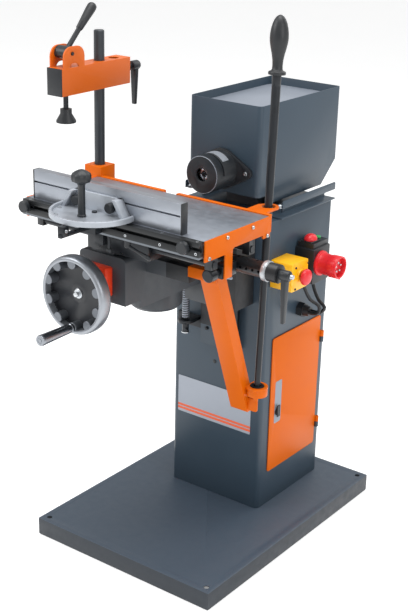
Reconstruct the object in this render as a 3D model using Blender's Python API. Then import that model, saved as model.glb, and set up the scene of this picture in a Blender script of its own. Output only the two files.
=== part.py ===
"""Floor-standing slot mortiser with a lever-worked cross table.

Metres, +Z up, +X to the operator's right, +Y away from the operator.
The origin is on the floor, under the middle of the base tray.
"""
import math

import bmesh
import bpy
from mathutils import Matrix, Vector

# Shared clearances and wall thicknesses
GAP = 0.0003
RUNNING = 0.0002
OVERRUN = 0.004
SHEET = 0.003
PLATE = 0.004

# Base tray and pedestal
BASE_WIDTH = 0.530
BASE_DEPTH = 0.720
BASE_HEIGHT = 0.046
BASE_HOLE_RADIUS = 0.006
BASE_HOLE_INSET = 0.020
STIFFENER_WIDTH = 0.060
STIFFENER_LENGTH = 0.640
PEDESTAL_WIDTH = 0.274
PEDESTAL_DEPTH = 0.286
PEDESTAL_FRONT = 0.018
PEDESTAL_TOP = 0.808
PEDESTAL_CORNER = 0.012

# Cabinet door on the +X side
DOOR_SETBACK = 0.037
DOOR_WIDTH = 0.219
DOOR_BOTTOM = 0.139
DOOR_HEIGHT = 0.365
DOOR_CORNER = 0.006
DOOR_LAP = 0.012
HINGE_RADIUS = 0.0055
HINGE_PIN_RADIUS = 0.0025
HINGE_LENGTH = 0.030
HINGE_INSET = 0.060
LATCH_RADIUS = 0.009
LATCH_RISE = 0.160
LATCH_INSET = 0.030

# Motor, its plate and its sheet hood
SHAFT_RISE = 0.109
MOTOR_PLATE_WIDTH = 0.290
MOTOR_PLATE_SETBACK = 0.042
MOTOR_PLATE_DEPTH = 0.240
UPSTAND_SPREAD = 0.120
UPSTAND_HEIGHT = 0.022
UPSTAND_SETBACK = 0.040
UPSTAND_LENGTH = 0.190
HOOD_WIDTH = 0.206
HOOD_DEPTH = 0.345
HOOD_DROP = 0.067
HOOD_HEIGHT = 0.227
HOOD_CORNER = 0.020
HOOD_WALL = 0.002
HOOD_RECESS = 0.020
HOOD_SLANT_HEIGHT = 0.055
HOOD_SLANT_DEPTH = 0.058
MOTOR_RADIUS = 0.074
MOTOR_STEP = 0.005
MOTOR_NECK_RADIUS = 0.052
MOTOR_NECK = 0.040
MOTOR_LENGTH = 0.270
MOTOR_FOOT_WIDTH = 0.092
MOTOR_FOOT_LENGTH = 0.110

# Chuck and its guard
GUARD_RADIUS = 0.045
GUARD_WALL = 0.004
GUARD_LENGTH = 0.076
GUARD_MOUTH_RADIUS = 0.016
GUARD_EAR_SPREAD = 0.071
GUARD_EAR_RADIUS = 0.014
GUARD_FLANGE = 0.008
GUARD_BOLT_RADIUS = 0.005
CHUCK_RADIUS = 0.028
CHUCK_LENGTH = 0.052
CHUCK_BORE = 0.008
CHUCK_SETBACK = 0.010
JAW_COUNT = 4
SHAFT_RADIUS = 0.014

# Vertical slideway, lift screw and its foot bracket
SLIDE_CENTRE = 0.017
SLIDE_HALF = 0.055
SLIDE_WAIST = 0.046
SLIDE_DEPTH = 0.022
SLIDE_DROP = 0.008
SLIDE_LENGTH = 0.330
SCREW_OFFSET = 0.087
SCREW_STANDOFF = 0.042
SCREW_RADIUS = 0.010
SCREW_OVERHANG = 0.013
BRACKET_WIDTH = 0.098
BRACKET_RISE = 0.030
BRACKET_HEIGHT = 0.030
FOOT_NUT_RADIUS = 0.016
FOOT_NUT_HEIGHT = 0.014

# Lift saddle: the knee that rides on the slideway
KNEE_DROP = 0.027
KNEE_LEFT_REACH = 0.062
KNEE_RIGHT_REACH = 0.072
KNEE_LENGTH = 0.280
CASTING_WALL = 0.008
NOSE_HEIGHT = 0.110
NOSE_LENGTH = 0.056
NOSE_CORNER = 0.012
BODY_HEIGHT = 0.129
BOSS_RADIUS = 0.064
BOSS_SETBACK = 0.190
BOSS_HEIGHT = 0.174
SADDLE_LEFT_REACH = 0.129
SADDLE_RIGHT_REACH = 0.085
SADDLE_STANDOFF = 0.078
SADDLE_HEIGHT = 0.181
POCKET_HALF = 0.024
POCKET_DROP = 0.029
WAY_OFFSET = 0.003
WAY_TOP_HALF = 0.036
WAY_WAIST = 0.029
WAY_HEIGHT = 0.014
ARM_LENGTH = 0.1197
ARM_SETBACK = 0.072
ARM_DEPTH = 0.050
ARM_DROP = 0.011
ARM_THICK = 0.035

# Lift drive: handwheel, shaft, bevel pair and height counter
WHEEL_DROP = 0.075
WHEEL_STANDOFF = 0.097
WHEEL_RADIUS = 0.090
WHEEL_RIM = 0.020
WHEEL_WIDTH = 0.034
WHEEL_LOBES = 9
WHEEL_LOBE = 0.009
WHEEL_WEB = 0.008
WHEEL_HUB_RADIUS = 0.017
SHAFT_ROD_RADIUS = 0.008
PINION_TEETH = 14
NUT_TEETH = 22
BEVEL_MODULE = 0.002
BEVEL_FACE = 0.009
NUT_HEIGHT = 0.030
GRIP_ARM = 0.073
GRIP_LENGTH = 0.100
GRIP_ROOT_RADIUS = 0.010
GRIP_END_RADIUS = 0.013
GRIP_PIN_RADIUS = 0.005
COUNTER_WIDTH = 0.070
COUNTER_HEIGHT = 0.069
COUNTER_DEPTH = 0.024
COUNTER_DROP = 0.018

# Brace that carries the lever's foot
BRACE_STANDOFF = 0.0273
BRACE_WIDTH = 0.048
BRACE_LAP = 0.006
BRACE_LENGTH = 0.381
BRACE_SETBACK = 0.142
BRACE_DEPTH = 0.032
BRACE_PAD_HEIGHT = 0.024
FULCRUM_PLATE = 0.005
FULCRUM_RISE = 0.068
FULCRUM_SIZE = 0.056
FULCRUM_TAB_DROP = 0.026

# Lever, from the fulcrum up through the guide on the table
FOOT_REACH = 0.019
FOOT_SETBACK = 0.0333
LEVER_LENGTH = 0.840
LEVER_RADIUS = 0.010
LEVER_FOOT_RADIUS = 0.0075
LEVER_TAIL = 0.020
BUSH_RADIUS = 0.0165
BUSH_HEIGHT = 0.008
BUSH_SLACK = 0.0005
LEVER_SWING_DEG = 15.0
GRIP_BARREL = 0.145
GRIP_BARREL_RADIUS = 0.0205
GRIP_BARREL_NECK = 0.012
GRIP_COLLAR_RADIUS = 0.020
GUIDE_HOLE_RADIUS = 0.0155
GUIDE_HOLE_INSET = 0.0391
GUIDE_HOLE_SETBACK = 0.0562

# Cross slide: carries the table along X, moves along Y
CARRIAGE_HALF = 0.085
CARRIAGE_SETBACK = 0.019
CARRIAGE_LENGTH = 0.175
CARRIAGE_DROP = 0.020
CARRIAGE_FOOT_HALF = 0.053
CARRIAGE_FOOT_LENGTH = 0.112
GUIDE_RADIUS = 0.008
GUIDE_DROP = 0.060
GUIDE_SETBACK = 0.039
GUIDE_SPACING = 0.135
BAR_SETBACK = 0.142
BAR_DROP = 0.086
BAR_BOSS_RADIUS = 0.025
BAR_BOSS_LENGTH = 0.045

# Dowel-pitch bar with its scale ring and clamping handle
BAR_RADIUS = 0.018
BAR_OVERHANG = 0.058
BAR_PITCHES = (0.016, 0.024, 0.032, 0.048)
BAR_HOLE_RADIUS = 0.0034
BAR_HOLE_DEPTH = 0.009
RING_RADIUS = 0.0225
RING_CLEARANCE = 0.0015
RING_WIDTH = 0.010
FLANGE_RADIUS = 0.0205
FLANGE_WIDTH = 0.026
RATCHET_HUB_RADIUS = 0.010
RATCHET_HUB_LENGTH = 0.028
RATCHET_ARM = 0.108
RATCHET_ROOT_RADIUS = 0.0075
RATCHET_TIP_RADIUS = 0.0055
HANG_LEAN_SHARE = 0.05

# Table, rail and end plates
TABLE_RISE = 0.105
TABLE_HALF = 0.246
TABLE_FRONT = -0.384
TABLE_DEPTH = 0.234
TABLE_THICK = 0.010
LUG_THICK = 0.018
LUG_HALF = 0.0105
LUG_DROP = 0.011
RAIL_DEPTH = 0.016
RAIL_HEIGHT = 0.036
SLOT_MOUTH = 0.007
SLOT_HEIGHT = 0.015
SLOT_LIP = 0.004
SLOT_DEPTH = 0.011
SLOT_RISE_SHARE = 0.6
END_DROP = 0.045
LEG_SETBACK = 0.071
LEG_WIDTH = 0.026
LEG_DROP = 0.100
STRIP_DEPTH = 0.011
STRIP_HEIGHT = 0.038
STRIP_NOTCH_LEFT = -0.046
STRIP_NOTCH_RIGHT = -0.009
STRIP_NOTCH_DEPTH = 0.012
GUIDE_PLATE = 0.005

# Index plunger on the end plate's leg
PLUNGER_BLOCK_WIDTH = 0.024
PLUNGER_BLOCK_HEIGHT = 0.028
PLUNGER_RADIUS = 0.003
PLUNGER_KNOB_RADIUS = 0.0145
PLUNGER_KNOB_LENGTH = 0.020
PLUNGER_NECK = 0.016
PLUNGER_NECK_RADIUS = 0.007
PLUNGER_PARK = 0.001
PLUNGER_STROKE = 0.007

# End stops in the front rail
STOP_LEFT_INSET = 0.014
STOP_RIGHT_INSET = 0.034
STOP_KNOB_RADIUS = 0.014
STOP_KNOB_LENGTH = 0.016
STOP_STUD_RADIUS = 0.003
STOP_NUT_LENGTH = 0.024

# Mitre gauge and fence
GAUGE_X = -0.033
GAUGE_RADIUS = 0.093
GAUGE_THICK = 0.008
GAUGE_BLOCK_WIDTH = 0.040
GAUGE_BLOCK_DEPTH = 0.020
GAUGE_TONGUE = 0.004
GAUGE_TONGUE_WIDTH = 0.028
GAUGE_SLOT_RADIUS = 0.040
GAUGE_SLOT_WIDTH = 0.011
GAUGE_PIVOT_RADIUS = 0.006
SWIVEL_LIMIT_DEG = 45.0
WALL_HEIGHT = 0.035
WALL_THICK = 0.0064
WALL_LEFT_REACH = 0.076
WALL_RIGHT_REACH = 0.055
LOCK_STEM_RADIUS = 0.0075
LOCK_STEM_HEIGHT = 0.074
LOCK_KNOB_RADIUS = 0.020
LOCK_KNOB_HEIGHT = 0.026
FENCE_LEFT = -0.225
FENCE_RIGHT = 0.184
FENCE_SETBACK = 0.001
FENCE_DEPTH = 0.020
FENCE_HEIGHT = 0.066
FENCE_CAP = 0.004
FENCE_SLOT_RISE = 0.026
FENCE_SLOT_MOUTH = 0.0075
FENCE_SLOT_HEIGHT = 0.014
FENCE_SLOT_DEPTH = 0.008
FENCE_SLOT_LIP = 0.003
FENCE_GROOVE_RISE = 0.044
FENCE_KNOB_LEFT_REACH = 0.055
FENCE_KNOB_RIGHT_REACH = 0.040
FENCE_KNOB_RADIUS = 0.0115
FENCE_KNOB_LENGTH = 0.014
FENCE_STUD_RADIUS = 0.003

# Hold-down clamp on its column
COLUMN_OVERHANG = 0.016
COLUMN_SETBACK = 0.027
COLUMN_RADIUS = 0.0125
COLUMN_RISE = 0.340
SOCKET_HALF = 0.0255
SOCKET_RISE = 0.023
SOCKET_DROP = 0.038
ARM_WIDTH = 0.044
ARM_HEIGHT = 0.062
ARM_RISE = 0.208
ARM_FRONT_REACH = 0.152
ARM_BACK_REACH = 0.086
SPARE_HOLE_SETBACK = 0.051
SPARE_HOLE_RADIUS = 0.013
EAR_THICK = 0.004
EAR_FRONT_REACH = 0.028
EAR_BACK_REACH = 0.041
EAR_TOP_RISE = 0.016
EAR_CORNER = 0.024
EAR_ARCH_HALF = 0.016
EAR_ARCH_HEIGHT = 0.010
CAM_REACH = 0.115
CAM_RISE = 0.031
CAM_RADIUS = 0.013
CAM_THROW = 0.004
CAM_TURN_DEG = 75.0
CAM_SLACK = 0.0008
CAM_PIN_RADIUS = 0.004
CAM_ROD_RADIUS = 0.006
CAM_ROD_LENGTH = 0.055
CAM_GRIP_LENGTH = 0.070
CAM_GRIP_RADIUS = 0.011
CAM_ANGLE_DEG = 45.5
CLAMP_ROD_RADIUS = 0.006
CLAMP_FOOT_DROP = 0.065
CLAMP_FOOT_HEIGHT = 0.031
CLAMP_FOOT_RADIUS = 0.023
CLAMP_COLLAR_RADIUS = 0.0135
CLAMP_SCREW_SHARE = 0.55

# Electrics on the +X side
STOP_BOX_SETBACK = 0.015
STOP_BOX_WIDTH = 0.070
STOP_BOX_DROP = 0.163
STOP_BOX_DEPTH = 0.060
STOP_TRAVEL = 0.005
MUSHROOM_RADIUS = 0.020
MUSHROOM_STEM = 0.011
MUSHROOM_RISE = 0.016
BEZEL_RADIUS = 0.0155
BEZEL_HEIGHT = 0.006
SWITCH_SPACING = 0.035
SWITCH_WIDTH = 0.074
SWITCH_DROP = 0.173
SWITCH_HEIGHT = 0.089
SWITCH_DEPTH = 0.053
PLINTH_INSET = 0.004
PLINTH_HEIGHT = 0.012
FLAP_WIDTH = 0.034
FLAP_LENGTH = 0.040
FLAP_HEIGHT = 0.018
FLAP_HINGE_RADIUS = 0.003
START_RADIUS = 0.007
START_RISE = 0.005
INLET_ALONG = 0.032
INLET_UP = 0.049
INLET_RADIUS = 0.028
INLET_WALL = 0.004
INLET_LENGTH = 0.052
INLET_FLANGE_RADIUS = 0.031
INLET_FLANGE = 0.006
INLET_PIN_RADIUS = 0.003
INLET_PIN_CIRCLE = 0.014
INLET_PIN_LENGTH = 0.030
INLET_PINS = 5
GLAND_ALONG = 0.034
GLAND_DROP = 0.085
GLAND_RADIUS = 0.019
GLAND_NUT = 0.016
GLAND_TAPER = 0.016
CABLE_RADIUS = 0.0045
CABLE_SPREAD = 0.0065

# Facets round a large, a middling and a small piece
ROUND = 28
FINE = 20
SMALL = 12

# Places worked out from the sizes above
SIDE = PEDESTAL_WIDTH / 2
REAR = PEDESTAL_FRONT + PEDESTAL_DEPTH
DOOR_FRONT = PEDESTAL_FRONT + DOOR_SETBACK
LATCH_HEIGHT = DOOR_BOTTOM + LATCH_RISE
MOTOR_PLATE_FRONT = PEDESTAL_FRONT + MOTOR_PLATE_SETBACK
UPSTAND_FRONT = MOTOR_PLATE_FRONT + UPSTAND_SETBACK
SPINDLE_HEIGHT = PEDESTAL_TOP + SHAFT_RISE
HOOD_BOTTOM = SPINDLE_HEIGHT - HOOD_DROP
HOOD_TOP = HOOD_BOTTOM + HOOD_HEIGHT
MOTOR_FRONT = PEDESTAL_FRONT + HOOD_WALL + GAP
SLIDE_TOP = PEDESTAL_TOP - SLIDE_DROP
SLIDE_BOTTOM = SLIDE_TOP - SLIDE_LENGTH
BRACKET_BOTTOM = SLIDE_BOTTOM + BRACKET_RISE
SCREW_X = SLIDE_CENTRE - SCREW_OFFSET
SCREW_Y = PEDESTAL_FRONT - SCREW_STANDOFF
KNEE_TOP = PEDESTAL_TOP - KNEE_DROP
KNEE_LEFT = SCREW_X - KNEE_LEFT_REACH
KNEE_RIGHT = SCREW_X + KNEE_RIGHT_REACH
SADDLE_FRONT = PEDESTAL_FRONT - SADDLE_STANDOFF
SADDLE_LEFT = SLIDE_CENTRE - SADDLE_LEFT_REACH
SADDLE_RIGHT = SLIDE_CENTRE + SADDLE_RIGHT_REACH
SADDLE_BOTTOM = KNEE_TOP - SADDLE_HEIGHT
KNEE_FRONT = SADDLE_FRONT - KNEE_LENGTH
NOSE_BOTTOM = KNEE_TOP - NOSE_HEIGHT
BODY_BOTTOM = KNEE_TOP - BODY_HEIGHT
BOSS_Y = KNEE_FRONT + BOSS_SETBACK
BOSS_BOTTOM = KNEE_TOP - BOSS_HEIGHT
POCKET_TOP = KNEE_TOP - POCKET_DROP
WAY_CENTRE = SCREW_X + WAY_OFFSET
ARM_TOP = KNEE_TOP - ARM_DROP
ARM_BOTTOM = ARM_TOP - ARM_THICK
ARM_RIGHT = KNEE_RIGHT + ARM_LENGTH
ARM_FRONT = KNEE_FRONT + ARM_SETBACK
ARM_BACK = ARM_FRONT + ARM_DEPTH
SCREW_TOP = ARM_TOP + SCREW_OVERHANG
WHEEL_HEIGHT = KNEE_TOP - WHEEL_DROP
WHEEL_FACE = KNEE_FRONT - WHEEL_STANDOFF
BRACE_LEFT = ARM_RIGHT + BRACE_STANDOFF
BRACE_RIGHT = BRACE_LEFT + BRACE_WIDTH
BRACE_TOP = ARM_TOP + BRACE_LAP
BRACE_FOOT = BRACE_TOP - BRACE_LENGTH
BRACE_TOP_FRONT = ARM_FRONT - PLATE
BRACE_FOOT_FRONT = BRACE_TOP_FRONT + BRACE_SETBACK
FULCRUM_HEIGHT = BRACE_FOOT + FULCRUM_RISE
FOOT_X = BRACE_RIGHT + FOOT_REACH
FOOT_Y = BRACE_FOOT_FRONT - BRACE_SETBACK * FULCRUM_RISE / BRACE_LENGTH + FOOT_SETBACK
TABLE_TOP = KNEE_TOP + TABLE_RISE
TABLE_BACK = TABLE_FRONT + TABLE_DEPTH
CARRIAGE_FRONT = TABLE_FRONT + CARRIAGE_SETBACK
CARRIAGE_BACK = CARRIAGE_FRONT + CARRIAGE_LENGTH
CARRIAGE_TOP = TABLE_TOP - CARRIAGE_DROP
GUIDE_FRONT = TABLE_FRONT + GUIDE_SETBACK
GUIDE_BACK = GUIDE_FRONT + GUIDE_SPACING
GUIDE_HEIGHT = TABLE_TOP - GUIDE_DROP
BAR_Y = TABLE_FRONT + BAR_SETBACK
BAR_Z = TABLE_TOP - BAR_DROP
BAR_END = TABLE_HALF + BAR_OVERHANG
CARRIAGE_SPLIT = BAR_Z
LEG_FRONT = TABLE_FRONT + LEG_SETBACK
LEG_BACK = LEG_FRONT + LEG_WIDTH
LEG_BOTTOM = TABLE_TOP - LEG_DROP
RAIL_BOTTOM = TABLE_TOP - RAIL_HEIGHT
RAIL_FRONT = TABLE_FRONT - GAP - RAIL_DEPTH
SLOT_MIDDLE = RAIL_BOTTOM + RAIL_HEIGHT * SLOT_RISE_SHARE
STOP_LEFT = STOP_LEFT_INSET - TABLE_HALF
STOP_RIGHT = TABLE_HALF - STOP_RIGHT_INSET
GAUGE_Y = RAIL_FRONT
GAUGE_FLOOR = TABLE_TOP + 2 * GAP
WALL_LEFT = GAUGE_X - WALL_LEFT_REACH
WALL_RIGHT = GAUGE_X + WALL_RIGHT_REACH
FENCE_FRONT = TABLE_FRONT + FENCE_SETBACK
FENCE_FLOOR = TABLE_TOP + GAP
FENCE_KNOB_LEFT = GAUGE_X - FENCE_KNOB_LEFT_REACH
FENCE_KNOB_RIGHT = GAUGE_X + FENCE_KNOB_RIGHT_REACH
COLUMN_X = -TABLE_HALF - COLUMN_OVERHANG
COLUMN_Y = TABLE_BACK + COLUMN_SETBACK
COLUMN_TOP = TABLE_TOP + COLUMN_RISE
SOCKET_TOP = TABLE_TOP + SOCKET_RISE
SOCKET_BOTTOM = TABLE_TOP - SOCKET_DROP
ARM_FLOOR = TABLE_TOP + ARM_RISE
ARM_CEILING = ARM_FLOOR + ARM_HEIGHT
ARM_TIP = COLUMN_Y - ARM_FRONT_REACH
ARM_TAIL = COLUMN_Y + ARM_BACK_REACH
SPARE_HOLE_Y = COLUMN_Y + SPARE_HOLE_SETBACK
CAM_Y = COLUMN_Y - CAM_REACH
CAM_AXIS = Vector((COLUMN_X, CAM_Y, ARM_CEILING + CAM_RISE))
EAR_FRONT = CAM_Y - EAR_FRONT_REACH
EAR_BACK = CAM_Y + EAR_BACK_REACH
CLAMP_FOOT_BOTTOM = ARM_FLOOR - CLAMP_FOOT_DROP
STOP_BOX_FRONT = PEDESTAL_FRONT + STOP_BOX_SETBACK
STOP_BOX_BOTTOM = PEDESTAL_TOP - STOP_BOX_DROP
SWITCH_FRONT = STOP_BOX_FRONT + STOP_BOX_WIDTH + SWITCH_SPACING
SWITCH_BOTTOM = PEDESTAL_TOP - SWITCH_DROP
INLET_Y = SWITCH_FRONT + INLET_ALONG
INLET_Z = SWITCH_BOTTOM + INLET_UP
GLAND_Y = SWITCH_FRONT + GLAND_ALONG
GLAND_Z = SWITCH_BOTTOM - GLAND_DROP
LEVER_FOOT = Vector((FOOT_X, FOOT_Y, FULCRUM_HEIGHT))
GUIDE_CENTRE = Vector((TABLE_HALF - GUIDE_HOLE_INSET, TABLE_BACK + GUIDE_HOLE_SETBACK, TABLE_TOP))
LEVER_AXIS = (GUIDE_CENTRE - LEVER_FOOT).normalized()
NUT_RADIUS = NUT_TEETH * BEVEL_MODULE / 2


def linear(channel):
    """One sRGB channel, 0 to 1, as linear light."""
    if channel <= 0.04045:
        return channel / 12.92
    return ((channel + 0.055) / 1.055) ** 2.4


def paint(name, colour, roughness, metallic=0.0):
    """A Principled material from an sRGB hex colour."""
    material = bpy.data.materials.new(name)
    material.use_nodes = True
    shader = material.node_tree.nodes["Principled BSDF"]
    channels = [linear(int(colour[i:i + 2], 16) / 255) for i in (1, 3, 5)]
    shader.inputs["Base Color"].default_value = (*channels, 1.0)
    shader.inputs["Roughness"].default_value = roughness
    shader.inputs["Metallic"].default_value = metallic
    material.diffuse_color = (*channels, 1.0)
    return material


FINISHES = {
    "orange": ("#E8751A", 0.45, 0.0),
    "anthracite": ("#3F4A55", 0.50, 0.0),
    "cast": ("#4A4F55", 0.55, 0.2),
    "black": ("#26282B", 0.50, 0.0),
    "steel": ("#9EA3A8", 0.35, 1.0),
    "chrome": ("#D5D8DB", 0.12, 1.0),
    "aluminium": ("#B4B9C2", 0.40, 0.9),
    "yellow": ("#F5B619", 0.40, 0.0),
    "red": ("#D4202B", 0.35, 0.0),
    "green": ("#2E9E4F", 0.40, 0.0),
    "rubber": ("#1E1F21", 0.70, 0.0),
}


def piece(name, mesh, finish, pivot=(0, 0, 0)):
    """Make a named object whose origin is its pivot; the mesh is given in world places."""
    data = bpy.data.meshes.new(name)
    mesh.to_mesh(data)
    mesh.free()
    item = bpy.data.objects.new(name, data)
    bpy.context.scene.collection.objects.link(item)
    data.transform(Matrix.Translation(-Vector(pivot)))
    item.location = pivot
    colour, roughness, metallic = FINISHES[finish]
    data.materials.append(paint(name, colour, roughness, metallic))
    data.shade_smooth()
    data.set_sharp_from_angle(angle=math.radians(32))
    return item


def boolean(first, second, operation):
    """Solve one exact Boolean between two bmeshes and return the result."""
    objects = []
    for mesh in (first, second):
        data = bpy.data.meshes.new("work")
        mesh.to_mesh(data)
        mesh.free()
        item = bpy.data.objects.new("work", data)
        bpy.context.scene.collection.objects.link(item)
        objects.append(item)
    modifier = objects[0].modifiers.new("solve", "BOOLEAN")
    modifier.operation = operation
    modifier.solver = "EXACT"
    modifier.object = objects[1]
    depsgraph = bpy.context.evaluated_depsgraph_get()
    result = bmesh.new()
    result.from_object(objects[0], depsgraph)
    for item in objects:
        data = item.data
        bpy.data.objects.remove(item)
        bpy.data.meshes.remove(data)
    return result


def joined(first, *others):
    for other in others:
        first = boolean(first, other, "UNION")
    return first


def carved(first, *cutters):
    for cutter in cutters:
        first = boolean(first, cutter, "DIFFERENCE")
    return first


def block(low, high):
    """A box between two corners."""
    mesh = bmesh.new()
    size = Vector(high) - Vector(low)
    middle = (Vector(high) + Vector(low)) / 2
    place_it = Matrix.Translation(middle) @ Matrix.Diagonal((*size, 1))
    bmesh.ops.create_cube(mesh, size=1.0, matrix=place_it)
    return mesh


AXES = {"X": (1, 2, 0), "Y": (0, 2, 1), "Z": (0, 1, 2)}


def place(axis, across, up, along):
    """Turn outline coordinates into a world point; the outline lies square to the axis."""
    point = [0, 0, 0]
    first, second, third = AXES[axis]
    point[first] = across
    point[second] = up
    point[third] = along
    return Vector(point)


def prism(axis, outline, start, end):
    """An outline drawn square to an axis and pulled along it."""
    mesh = bmesh.new()
    corners = [mesh.verts.new(place(axis, a, b, start)) for a, b in outline]
    face = mesh.faces.new(corners)
    pulled = bmesh.ops.extrude_face_region(mesh, geom=[face])
    moved = [v for v in pulled["geom"] if isinstance(v, bmesh.types.BMVert)]
    bmesh.ops.translate(mesh, verts=moved, vec=place(axis, 0, 0, end - start))
    bmesh.ops.recalc_face_normals(mesh, faces=mesh.faces)
    return mesh


def frame_for(direction):
    """A rotation that turns +Z to the direction."""
    return Vector((0, 0, 1)).rotation_difference(Vector(direction)).to_matrix().to_4x4()


def turned(profile, foot, direction=(0, 0, 1), steps=ROUND):
    """A profile of (radius, height) pairs turned about a line; zero radius closes to a point."""
    mesh = bmesh.new()
    rings = []
    for radius, height in profile:
        if radius == 0:
            rings.append([mesh.verts.new((0, 0, height))])
            continue
        angles = [math.tau * i / steps for i in range(steps)]
        rings.append([mesh.verts.new((radius * math.cos(a), radius * math.sin(a), height)) for a in angles])
    for lower, upper in zip(rings, rings[1:]):
        for i in range(steps):
            j = (i + 1) % steps
            if len(lower) == 1:
                mesh.faces.new((lower[0], upper[j], upper[i]))
            elif len(upper) == 1:
                mesh.faces.new((lower[i], lower[j], upper[0]))
            else:
                mesh.faces.new((lower[i], lower[j], upper[j], upper[i]))
    if len(rings[0]) > 1:
        mesh.faces.new(list(reversed(rings[0])))
    if len(rings[-1]) > 1:
        mesh.faces.new(rings[-1])
    bmesh.ops.transform(mesh, matrix=Matrix.Translation(Vector(foot)) @ frame_for(direction),
                        verts=mesh.verts)
    bmesh.ops.recalc_face_normals(mesh, faces=mesh.faces)
    return mesh


def rod(foot, length, radius, direction=(0, 0, 1), steps=ROUND):
    """A plain cylinder from its foot along a direction."""
    return turned([(radius, 0), (radius, length)], foot, direction, steps)


def hoop(outer, inner, count, foot, depth, direction):
    """A flat ring between two radius rules, each a function of the angle."""
    mesh = bmesh.new()
    loops = []
    for rule, height in ((outer, 0), (outer, depth), (inner, depth), (inner, 0)):
        ring = []
        for i in range(count):
            angle = math.tau * i / count
            radius = rule(angle)
            ring.append(mesh.verts.new((radius * math.cos(angle), radius * math.sin(angle), height)))
        loops.append(ring)
    for k in range(len(loops)):
        here = loops[k]
        there = loops[(k + 1) % len(loops)]
        for i in range(count):
            j = (i + 1) % count
            mesh.faces.new((here[i], here[j], there[j], there[i]))
    bmesh.ops.transform(mesh, matrix=Matrix.Translation(Vector(foot)) @ frame_for(direction),
                        verts=mesh.verts)
    bmesh.ops.recalc_face_normals(mesh, faces=mesh.faces)
    return mesh


def arc(centre, radius, first_deg, last_deg, count):
    """Points on an arc, ends included."""
    points = []
    for i in range(count + 1):
        angle = math.radians(first_deg + (last_deg - first_deg) * i / count)
        points.append((centre[0] + radius * math.cos(angle), centre[1] + radius * math.sin(angle)))
    return points


def rounded(low, high, radius, count=4):
    """A rectangle with round corners, counter-clockwise."""
    centres = (
        (high[0] - radius, high[1] - radius),
        (low[0] + radius, high[1] - radius),
        (low[0] + radius, low[1] + radius),
        (high[0] - radius, low[1] + radius),
    )
    points = []
    for quarter, centre in enumerate(centres):
        points += arc(centre, radius, 90 * quarter, 90 * quarter + 90, count)
    return points


def tube(points, radius, sides=8):
    """A round solid along a smooth curve through hand-chosen points."""
    path = smooth_path(points)
    mesh = bmesh.new()
    rings = []
    across = Vector((0, 0, 1))
    for i, point in enumerate(path):
        if i == 0:
            along = (Vector(points[1]) - Vector(points[0])).normalized()
        elif i == len(path) - 1:
            along = (Vector(points[-1]) - Vector(points[-2])).normalized()
        else:
            along = (path[i + 1] - path[i - 1]).normalized()
        if abs(across.dot(along)) > 0.99:
            across = along.orthogonal()
        across = (across - along * across.dot(along)).normalized()
        up = along.cross(across)
        angles = [math.tau * k / sides for k in range(sides)]
        rings.append([mesh.verts.new(point + radius * (across * math.cos(a) + up * math.sin(a)))
                      for a in angles])
    for near, far in zip(rings, rings[1:]):
        for k in range(sides):
            j = (k + 1) % sides
            mesh.faces.new((near[k], near[j], far[j], far[k]))
    mesh.faces.new(list(reversed(rings[0])))
    mesh.faces.new(rings[-1])
    bmesh.ops.recalc_face_normals(mesh, faces=mesh.faces)
    return mesh


def smooth_path(points, steps=3):
    """Catmull-Rom points through the route."""
    route = [Vector(p) for p in points]
    route = [2 * route[0] - route[1]] + route + [2 * route[-1] - route[-2]]
    path = []
    for a, b, c, d in zip(route, route[1:], route[2:], route[3:]):
        for i in range(steps):
            t = i / steps
            path.append(0.5 * (2 * b + (c - a) * t + (2 * a - 5 * b + 4 * c - d) * t * t
                               + (3 * b - a - 3 * c + d) * t * t * t))
    path.append(route[-2])
    return path


def build_base_tray():
    half = Vector((BASE_WIDTH / 2, BASE_DEPTH / 2, 0))
    tray = block((-half.x, -half.y, 0), (half.x, half.y, BASE_HEIGHT))
    inside = block((-half.x + PLATE, -half.y + PLATE, -OVERRUN),
                   (half.x - PLATE, half.y - PLATE, BASE_HEIGHT - PLATE))
    tray = carved(tray, inside)
    rib = block((-STIFFENER_WIDTH / 2, -STIFFENER_LENGTH / 2, 0),
                (STIFFENER_WIDTH / 2, STIFFENER_LENGTH / 2, BASE_HEIGHT - PLATE / 2))
    hollow = block((-STIFFENER_WIDTH / 2 + PLATE, -STIFFENER_LENGTH / 2 - OVERRUN, PLATE),
                   (STIFFENER_WIDTH / 2 - PLATE, STIFFENER_LENGTH / 2 + OVERRUN, BASE_HEIGHT - PLATE))
    tray = joined(tray, carved(rib, hollow))
    reach = half - Vector((BASE_HOLE_INSET, BASE_HOLE_INSET, 0))
    for x in (-reach.x, reach.x):
        for y in (-reach.y, reach.y):
            hole = rod((x, y, BASE_HEIGHT - PLATE - OVERRUN), PLATE + 2 * OVERRUN, BASE_HOLE_RADIUS,
                       steps=SMALL)
            tray = carved(tray, hole)
    return piece("base_tray", tray, "anthracite")


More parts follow.
